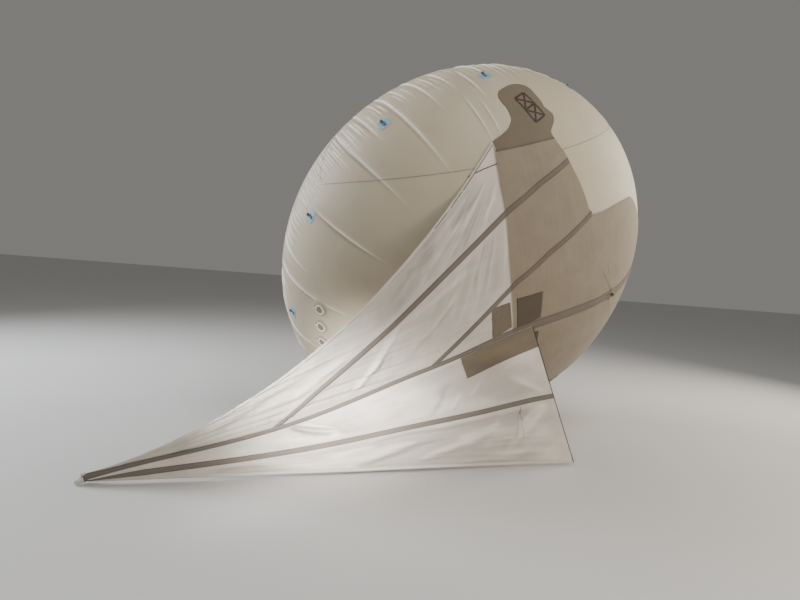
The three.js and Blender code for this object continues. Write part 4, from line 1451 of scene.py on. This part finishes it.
def stitched_box(name, side, context):
    """Rows of thread in a box with a bar and two crosses, lying on the cloth."""
    half_w, half_l = BOX_HALVES
    c, s = math.cos(math.radians(BOX_HEADING)), math.sin(math.radians(BOX_HEADING))
    corners = [(-1, -1), (1, -1), (1, 1), (-1, 1)]
    rows = [(corners[k], corners[(k + 1) % 4]) for k in range(4)]
    rows += [((-1, 0), (1, 0)), ((-1, -1), (1, 0)), ((1, -1), (-1, 0)), ((-1, 0), (1, 1)), ((1, 0), (-1, 1))]
    hump = BOX_LIFT + 0.0011 * np.array([0.0, 1.0, 1.0, 0.0])
    build = Build()
    for (x0, y0), (x1, y1) in rows:
        dx, dy = (x1 - x0) * half_w, (y1 - y0) * half_l
        span = math.hypot(dx, dy)
        count = max(2, int(span / STITCH_LENGTH))
        for offset in BOX_ROWS:
            for k in range(count):
                share = np.linspace((k + 0.12) / count, (k + 0.80) / count, 4)
                x = x0 * half_w + dx * share - dy / span * offset
                y = y0 * half_l + dy * share + dx / span * offset
                p = BOX_MIDDLE[0] + c * x - s * y
                q = side * (BOX_MIDDLE[1] + s * x + c * y)
                build.tube(sail_points(p, q, CLOTH_LIFT + hump + sail_relief(p, q, 1.0)), 0.0022, 5)
    return build.finish(name, finishes(context).thread, "strip")


class KITEBALLOON_OT_shoulders(bpy.types.Operator):
    """Lobed shoulder cloth glued to the film, with its stitched box"""

    bl_idname = "kiteballoon.shoulders"
    bl_label = "Shoulder patches"

    def execute(self, context):
        look = finishes(context)
        rear, front = resample(SHOULDER_REAR, 110), resample(SHOULDER_FRONT, 110)
        w = np.linspace(0, 1, 60)[None, :]
        p, q = (rear[:, k:k + 1] + (front[:, k:k + 1] - rear[:, k:k + 1]) * w for k in (0, 1))
        q[-1, :] += 0.012 * np.sin(np.pi * w[0])
        height = 0.0030 + 0.0022 * smooth(q, 1.80, SHOULDER_SEAM) + ripple(p, q, SEED + 5, PATCH_UNEVEN)
        for word, side in WING_SIDES:
            points = sail_points(p, q * side, height)
            # The shoulder cloth's dark tint is painted shade
            patch = grid_object(
                f"shoulder_cloth_{word}", points, p, q, look.shoulder, "sail", np.ones_like(p))
            thicken(patch, 0.0008, side)
            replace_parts(patch, f"shoulder_patch_{word}")
            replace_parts(stitched_box(f"shoulder_stitches_{word}", side, context), f"shoulder_box_{word}")
        return {"FINISHED"}


class KITEBALLOON_OT_nose(bpy.types.Operator):
    """Nose patch and the gathered tie ahead of the keel"""

    bl_idname = "kiteballoon.nose"
    bl_label = "Nose patch and tie"

    def execute(self, context):
        look = finishes(context)
        lobe = resample(NOSE_LOBE, 90)
        w = np.linspace(-1, 1, 70)[None, :]
        p = lobe[:, :1] + 0 * w
        p = p + 0.03 * smooth(p, 2.1, 2.28) * (1 - w**2)
        q = lobe[:, 1:] * w
        points = sail_points(p, q, 0.0032 + ripple(p, q, SEED + 6, PATCH_UNEVEN))
        patch = grid_object("nose_cloth", points, p, q, look.laid, "sail", np.ones_like(p))
        thicken(patch, 0.0008, 1.0)
        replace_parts(patch, "nose_patch")
        self.tie(look)
        return {"FINISHED"}

    def tie(self, look):
        """A tuft of cloth drawn together and bound with cord."""
        at_p, at_q = np.array(TIE_P), spine_q(np.array(TIE_P))
        base = sail_points(at_p, at_q, np.array(0.011))
        out = Vector(to_pose(sail_normal(at_p, at_q)))
        place = Matrix.Translation(base) @ out.to_track_quat("Z", "Y").to_matrix().to_4x4()
        turns = np.linspace(0, 2 * math.pi, 108, endpoint=False)
        rings = []
        for radius, height in TUFT_PROFILE:
            depth = 0.16 if height > 0.018 or height < 0.010 else 0.05
            scalloped = radius * (1 + depth * np.sin(9 * turns + 0.6 * np.sin(2 * turns)))
            rings.append(np.stack([scalloped * np.cos(turns), scalloped * np.sin(turns),
                                   height + 0.0015 * np.sin(9 * turns)], -1))
        flat = np.array(rings).transpose(1, 0, 2).reshape(-1, 3)
        faces = grid_faces(len(turns), len(TUFT_PROFILE), closed=True)
        points = [place @ Vector(v) for v in flat]
        tuft = mesh_object("nose_tuft", points, faces, flat[:, :2], look.laid)
        thicken(tuft, 0.0010, 0.0)
        cord = Build()
        for k, height in enumerate((0.0135, 0.0165, 0.0195)):
            ring = [place @ Vector((0.0118 * math.cos(a), 0.0118 * math.sin(a),
                                    height + 0.0008 * math.sin(a + k)))
                    for a in np.linspace(0, 2 * math.pi, 25)]
            cord.tube(ring, 0.0017, 8)
        for side in (-1, 1):
            end = [(0.012 * side, 0, 0.0165), (0.022 * side, 0.006, 0.018), (0.034 * side, 0.004, 0.010),
                   (0.050 * side, -0.006, 0.004)]
            cord.tube([place @ Vector(v) for v in resample(end, 14)], 0.0016, 8)
        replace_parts(cord.finish("nose_binding", look.cord, "cord"), "nose_tie")


class KITEBALLOON_OT_doublers(bpy.types.Operator):
    """Doubled cloth patches beside the spine"""

    bl_idname = "kiteballoon.doublers"
    bl_label = "Doublers"

    def execute(self, context):
        look = finishes(context)
        along = np.linspace(0, 1, 22)[:, None]
        up = np.linspace(0, 1, 30)[None, :]
        for word, side in WING_SIDES:
            for place, (rear_low, front_low, front_high, rear_high) in DOUBLERS.items():
                p, q = ((1 - up) * ((1 - along) * rear_low[k] + along * front_low[k])
                        + up * ((1 - along) * rear_high[k] + along * front_high[k]) for k in (0, 1))
                foot = side * spine_q(p) + 0.026
                q = foot + (q - rear_low[1]) / (rear_high[1] - rear_low[1]) * (rear_high[1] - foot)
                points = cloth_points(p, q * side, 0.0012, folds_of(context))
                # Both doublers' dark tints are painted shade
                finish = look.double if place == "front" else look.keel_double
                patch = grid_object(f"doubler_patch_{place}_{word}", points, p, q, finish, "strip", 0 * p)
                thicken(patch, 0.0009, side)
                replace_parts(patch, f"doubler_{place}_{word}")
        return {"FINISHED"}


def keel_band(name, high, low, rows, columns, context, look, lift, start=KEEL_START, stitched=False):
    """Keel cloth between two shares of its depth, which are numbers or depend on the depth."""
    p = np.linspace(start, KEEL_FRONT, rows)[:, None]
    w = np.linspace(0, 1, columns)[None, :]
    depth = keel_depth(p)
    top, foot = (edge(depth) if callable(edge) else edge for edge in (high, low))
    share = top + (foot - top) * w
    points = keel_points(p, share, lift, folds_of(context))
    v = (w - 0.5) * 2 * PATTERN_HALF if stitched else share * depth
    # Painted fold light: crest lightens the keel's cloth on fold crests and darkens it in the valleys
    crest = None if stitched else np.clip(keel_relief(p, share, depth) / KEEL_CREST, -1, 1)
    piece = grid_object(name, points, p, v, *look, 0 * p, crest)
    return piece, keel_points(p, share, 0, 0.0)


class KITEBALLOON_OT_keel(bpy.types.Operator):
    """Keel panels, strip, hem and doubler"""

    bl_idname = "kiteballoon.keel"
    bl_label = "Keel cloth"

    def execute(self, context):
        look = finishes(context)
        sail_look, strip_look = (look.sail, "sail"), (look.strip, "strip")
        for part, high, low, columns, rests_on in (
                ("upper", 0.0, 0.5, 40, "spine_band"), ("lower", 0.5, 1.0, 44, "keel_band")):
            cloth, smooth_points = keel_band(
                f"keel_panel_{part}", high, low, 300, columns, context, sail_look, 0.0)
            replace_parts(cloth, f"keel_{part}_panel")

        def half_strip(depth):
            return np.minimum(KEEL_STRIP_HALF, depth * 0.2) / depth

        strip, _ = keel_band("keel_band", lambda d: 0.5 - half_strip(d), lambda d: 0.5 + half_strip(d),
                             300, 6, context, strip_look, 0.0014, stitched=True)
        thicken(strip, 0.0018, 0.0)
        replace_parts(strip, "keel_strip")
        hem, _ = keel_band("keel_foot_hem", lambda d: 1 - np.minimum(0.030, d * 0.2) / d, 1.0,
                           300, 5, context, (look.hem, "sail"), 0.0014, stitched=True)
        thicken(hem, 0.0020, 0.0)
        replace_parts(hem, "keel_hem")
        doubler, _ = keel_band("keel_doubler_cloth", 0.002, lambda d: 0.190 / d,
                               70, 18, context, (look.keel_double, "strip"), 0.0016, start=-0.845)
        thicken(doubler, 0.0010, 0.0)
        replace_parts(doubler, "keel_doubler")
        self.dark_marks(context, look)
        return {"FINISHED"}

    def dark_marks(self, context, look):
        """Dark lines of thread below the keel's strip that part downwards."""
        build = Build()
        share = np.linspace(0, 1, 60)
        for p0, s0, p1, s1 in DARK_MARK_ROWS:
            p = p0 + (p1 - p0) * share + 0.004 * np.sin(9 * share)
            points = keel_points(p, s0 + (s1 - s0) * share, 0.0012, folds_of(context))
            for k in range(0, 58, 2):
                build.tube(points[k:k + 2], 0.0016, 5)
        build.finish("keel_dark_mark_threads", look.thread, "strip")


class KITEBALLOON_OT_keel_cord(bpy.types.Operator):
    """Edge cord along the keel's front, and the binding on the tail tip"""

    bl_idname = "kiteballoon.keel_cord"
    bl_label = "Edge cord and tail binding"

    def execute(self, context):
        look, radius = finishes(context), context.scene.kite_balloon.trim.cord_radius
        share = np.linspace(0.008, 0.996, 260)
        edge = keel_points(KEEL_FRONT + 0.0053 + 0 * share, share, 0.0, folds_of(context))
        face = unit(edge[-1] - edge[0])
        side = unit(np.cross(face, [0.0, 0.0, 1.0]))
        other = np.cross(face, side)
        length = np.linspace(0, 1.3, len(share))
        strands = Build()
        for k in range(3):
            angle = 2 * math.pi * (length / 0.028 + k / 3)
            offset = radius * 0.48 * (np.cos(angle)[:, None] * side + np.sin(angle)[:, None] * other)
            strands.tube(edge + offset, radius * 0.52, 6)
        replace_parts(strands.finish("keel_edge_cord", look.cord, "cord"), "keel_front_cord")
        self.tail(look)
        return {"FINISHED"}

    def tail(self, look):
        """Cloth folded over the tail tip, where all the layers meet."""
        p = np.linspace(TAIL + 0.004, TAIL + 0.070, 12)
        centre = sail_points(p, spine_q(p), np.full_like(p, 0.008))
        ahead = unit(centre[-1] - centre[0])
        across = unit(np.cross(ahead, to_pose(sail_normal(p[5], spine_q(p[5])))))
        up = np.cross(across, ahead)
        turns = np.linspace(0, 2 * math.pi, 28, endpoint=False)
        x, y = (np.sign(wave)[:, None] * (np.abs(wave) ** 0.7)[:, None]
                for wave in (np.cos(turns), np.sin(turns)))
        rings = []
        for k, c in enumerate(centre):
            swell = math.sin(math.pi * min(1.0, (k + 0.9) / 4) / 2)
            wide, tall = (0.016 + 0.0105 * k / 11) * swell, (0.010 + 0.0060 * k / 11) * swell
            rings.append(c + x * wide * across + y * tall * up)
        flat = np.array(rings).transpose(1, 0, 2).reshape(-1, 3)
        faces = grid_faces(len(turns), len(rings), closed=True).tolist()
        faces.append([i * len(rings) for i in range(len(turns))])
        Build().put(flat, faces).finish("tail_binding", look.sail, "strip")


class KITEBALLOON_OT_cuts(bpy.types.Operator):
    """Does nothing: no sheet's cut is stated"""

    bl_idname = "kiteballoon.cuts"
    bl_label = "Sheets' cuts"

    def execute(self, context):
        return {"FINISHED"}


class KITEBALLOON_OT_stage(bpy.types.Operator):
    """Camera, floor and soft light"""

    bl_idname = "kiteballoon.stage"
    bl_label = "Stage"

    def execute(self, context):
        stage = context.scene.kite_balloon.stage
        self.camera(context, stage)
        self.floor(context, stage)
        self.lights(context)
        return {"FINISHED"}

    def floor(self, context, stage):
        low, _ = CAD_BOX
        mesh = bpy.data.meshes.new("floor")
        bm = bmesh.new()
        bmesh.ops.create_grid(bm, x_segments=2, y_segments=2, size=40)
        bm.to_mesh(mesh)
        bm.free()
        floor = bpy.data.objects.new("floor", mesh)
        floor.location = (0, 0, low.z - 0.006)
        context.scene.collection.objects.link(floor)
        material, tree, shader = new_material("Pale floor")
        place = node(tree, "ShaderNodeTexCoord").outputs["Object"]
        colour = shades(tree, noise(tree, place, 0.6, 3.0), stage.floor_colour, 0.97, 1.03)
        feed(tree, shader, {"Base Color": colour, "Roughness": 0.7})
        mesh.materials.append(material)

    def camera(self, context, stage):
        """The photograph's viewpoint."""
        data = bpy.data.cameras.new("camera")
        data.lens = stage.lens
        data.sensor_width = 36
        data.clip_end = 200
        camera = bpy.data.objects.new("camera", data)
        context.scene.collection.objects.link(camera)
        c, s = math.cos(stage.pitch), math.sin(stage.pitch)
        cr, sr = math.cos(stage.roll), math.sin(stage.roll)
        level, above = Vector((1, 0, 0)), Vector((0, s, c))
        right, up = cr * level + sr * above, cr * above - sr * level
        matrix = Matrix((right, up, (0, -c, s))).transposed().to_4x4()
        matrix.translation = CAMERA_AT
        camera.matrix_world = matrix
        context.scene.camera = camera

    def lights(self, context):
        """Large soft lights on both sides, behind, above and in front, a small low one, and a dim world."""
        for name, place, target, size, power, spread, colour in LIGHTS:
            data = bpy.data.lights.new(name, "AREA")
            data.shape = "SQUARE"
            data.size = size
            data.energy = power
            data.spread = math.radians(spread)
            data.color = colour
            lamp = bpy.data.objects.new(name, data)
            lamp.location = place
            lamp.rotation_euler = (Vector(target) - Vector(place)).to_track_quat("-Z", "Y").to_euler()
            context.scene.collection.objects.link(lamp)
        world = bpy.data.worlds.new("Soft room")
        world.use_nodes = True
        background = world.node_tree.nodes["Background"]
        feed(world.node_tree, background, {"Color": (0.88, 0.85, 0.79, 1), "Strength": 0.24})
        context.scene.world = world


PIECE_OPERATORS = (
    KITEBALLOON_OT_film, KITEBALLOON_OT_welds, KITEBALLOON_OT_tabs, KITEBALLOON_OT_valves,
    KITEBALLOON_OT_wings, KITEBALLOON_OT_strips, KITEBALLOON_OT_shoulders, KITEBALLOON_OT_nose,
    KITEBALLOON_OT_doublers, KITEBALLOON_OT_keel, KITEBALLOON_OT_keel_cord, KITEBALLOON_OT_cuts)


class KITEBALLOON_PT_panel(bpy.types.Panel):
    """Settings and makers of the kite balloon's pieces"""

    bl_label = "Kite balloon"
    bl_idname = "KITEBALLOON_PT_panel"
    bl_space_type = "VIEW_3D"
    bl_region_type = "UI"
    bl_category = "Kite balloon"

    def draw(self, context):
        settings = context.scene.kite_balloon
        for group in (settings.film, settings.cloth, settings.trim, settings.stage):
            box = self.layout.box()
            for name in group.__annotations__:
                box.prop(group, name)
        for operator in (KITEBALLOON_OT_stage, *PIECE_OPERATORS):
            self.layout.operator(operator.bl_idname)


CLASSES = (FilmSettings, ClothSettings, TrimSettings, StageSettings, KiteBalloonSettings,
           KITEBALLOON_OT_stage, *PIECE_OPERATORS, KITEBALLOON_PT_panel)


def register():
    for cls in CLASSES:
        bpy.utils.register_class(cls)
    bpy.types.Scene.kite_balloon = bpy.props.PointerProperty(type=KiteBalloonSettings)


def unregister():
    del bpy.types.Scene.kite_balloon
    for cls in reversed(CLASSES):
        bpy.utils.unregister_class(cls)


def main():
    register()
    bpy.ops.kiteballoon.stage()
    bpy.ops.kiteballoon.film()
    bpy.ops.kiteballoon.welds()
    bpy.ops.kiteballoon.tabs()
    bpy.ops.kiteballoon.valves()
    bpy.ops.kiteballoon.wings()
    bpy.ops.kiteballoon.strips()
    bpy.ops.kiteballoon.shoulders()
    bpy.ops.kiteballoon.nose()
    bpy.ops.kiteballoon.doublers()
    bpy.ops.kiteballoon.keel()
    bpy.ops.kiteballoon.keel_cord()
    bpy.ops.kiteballoon.cuts()


if __name__ == "__main__":
    main()
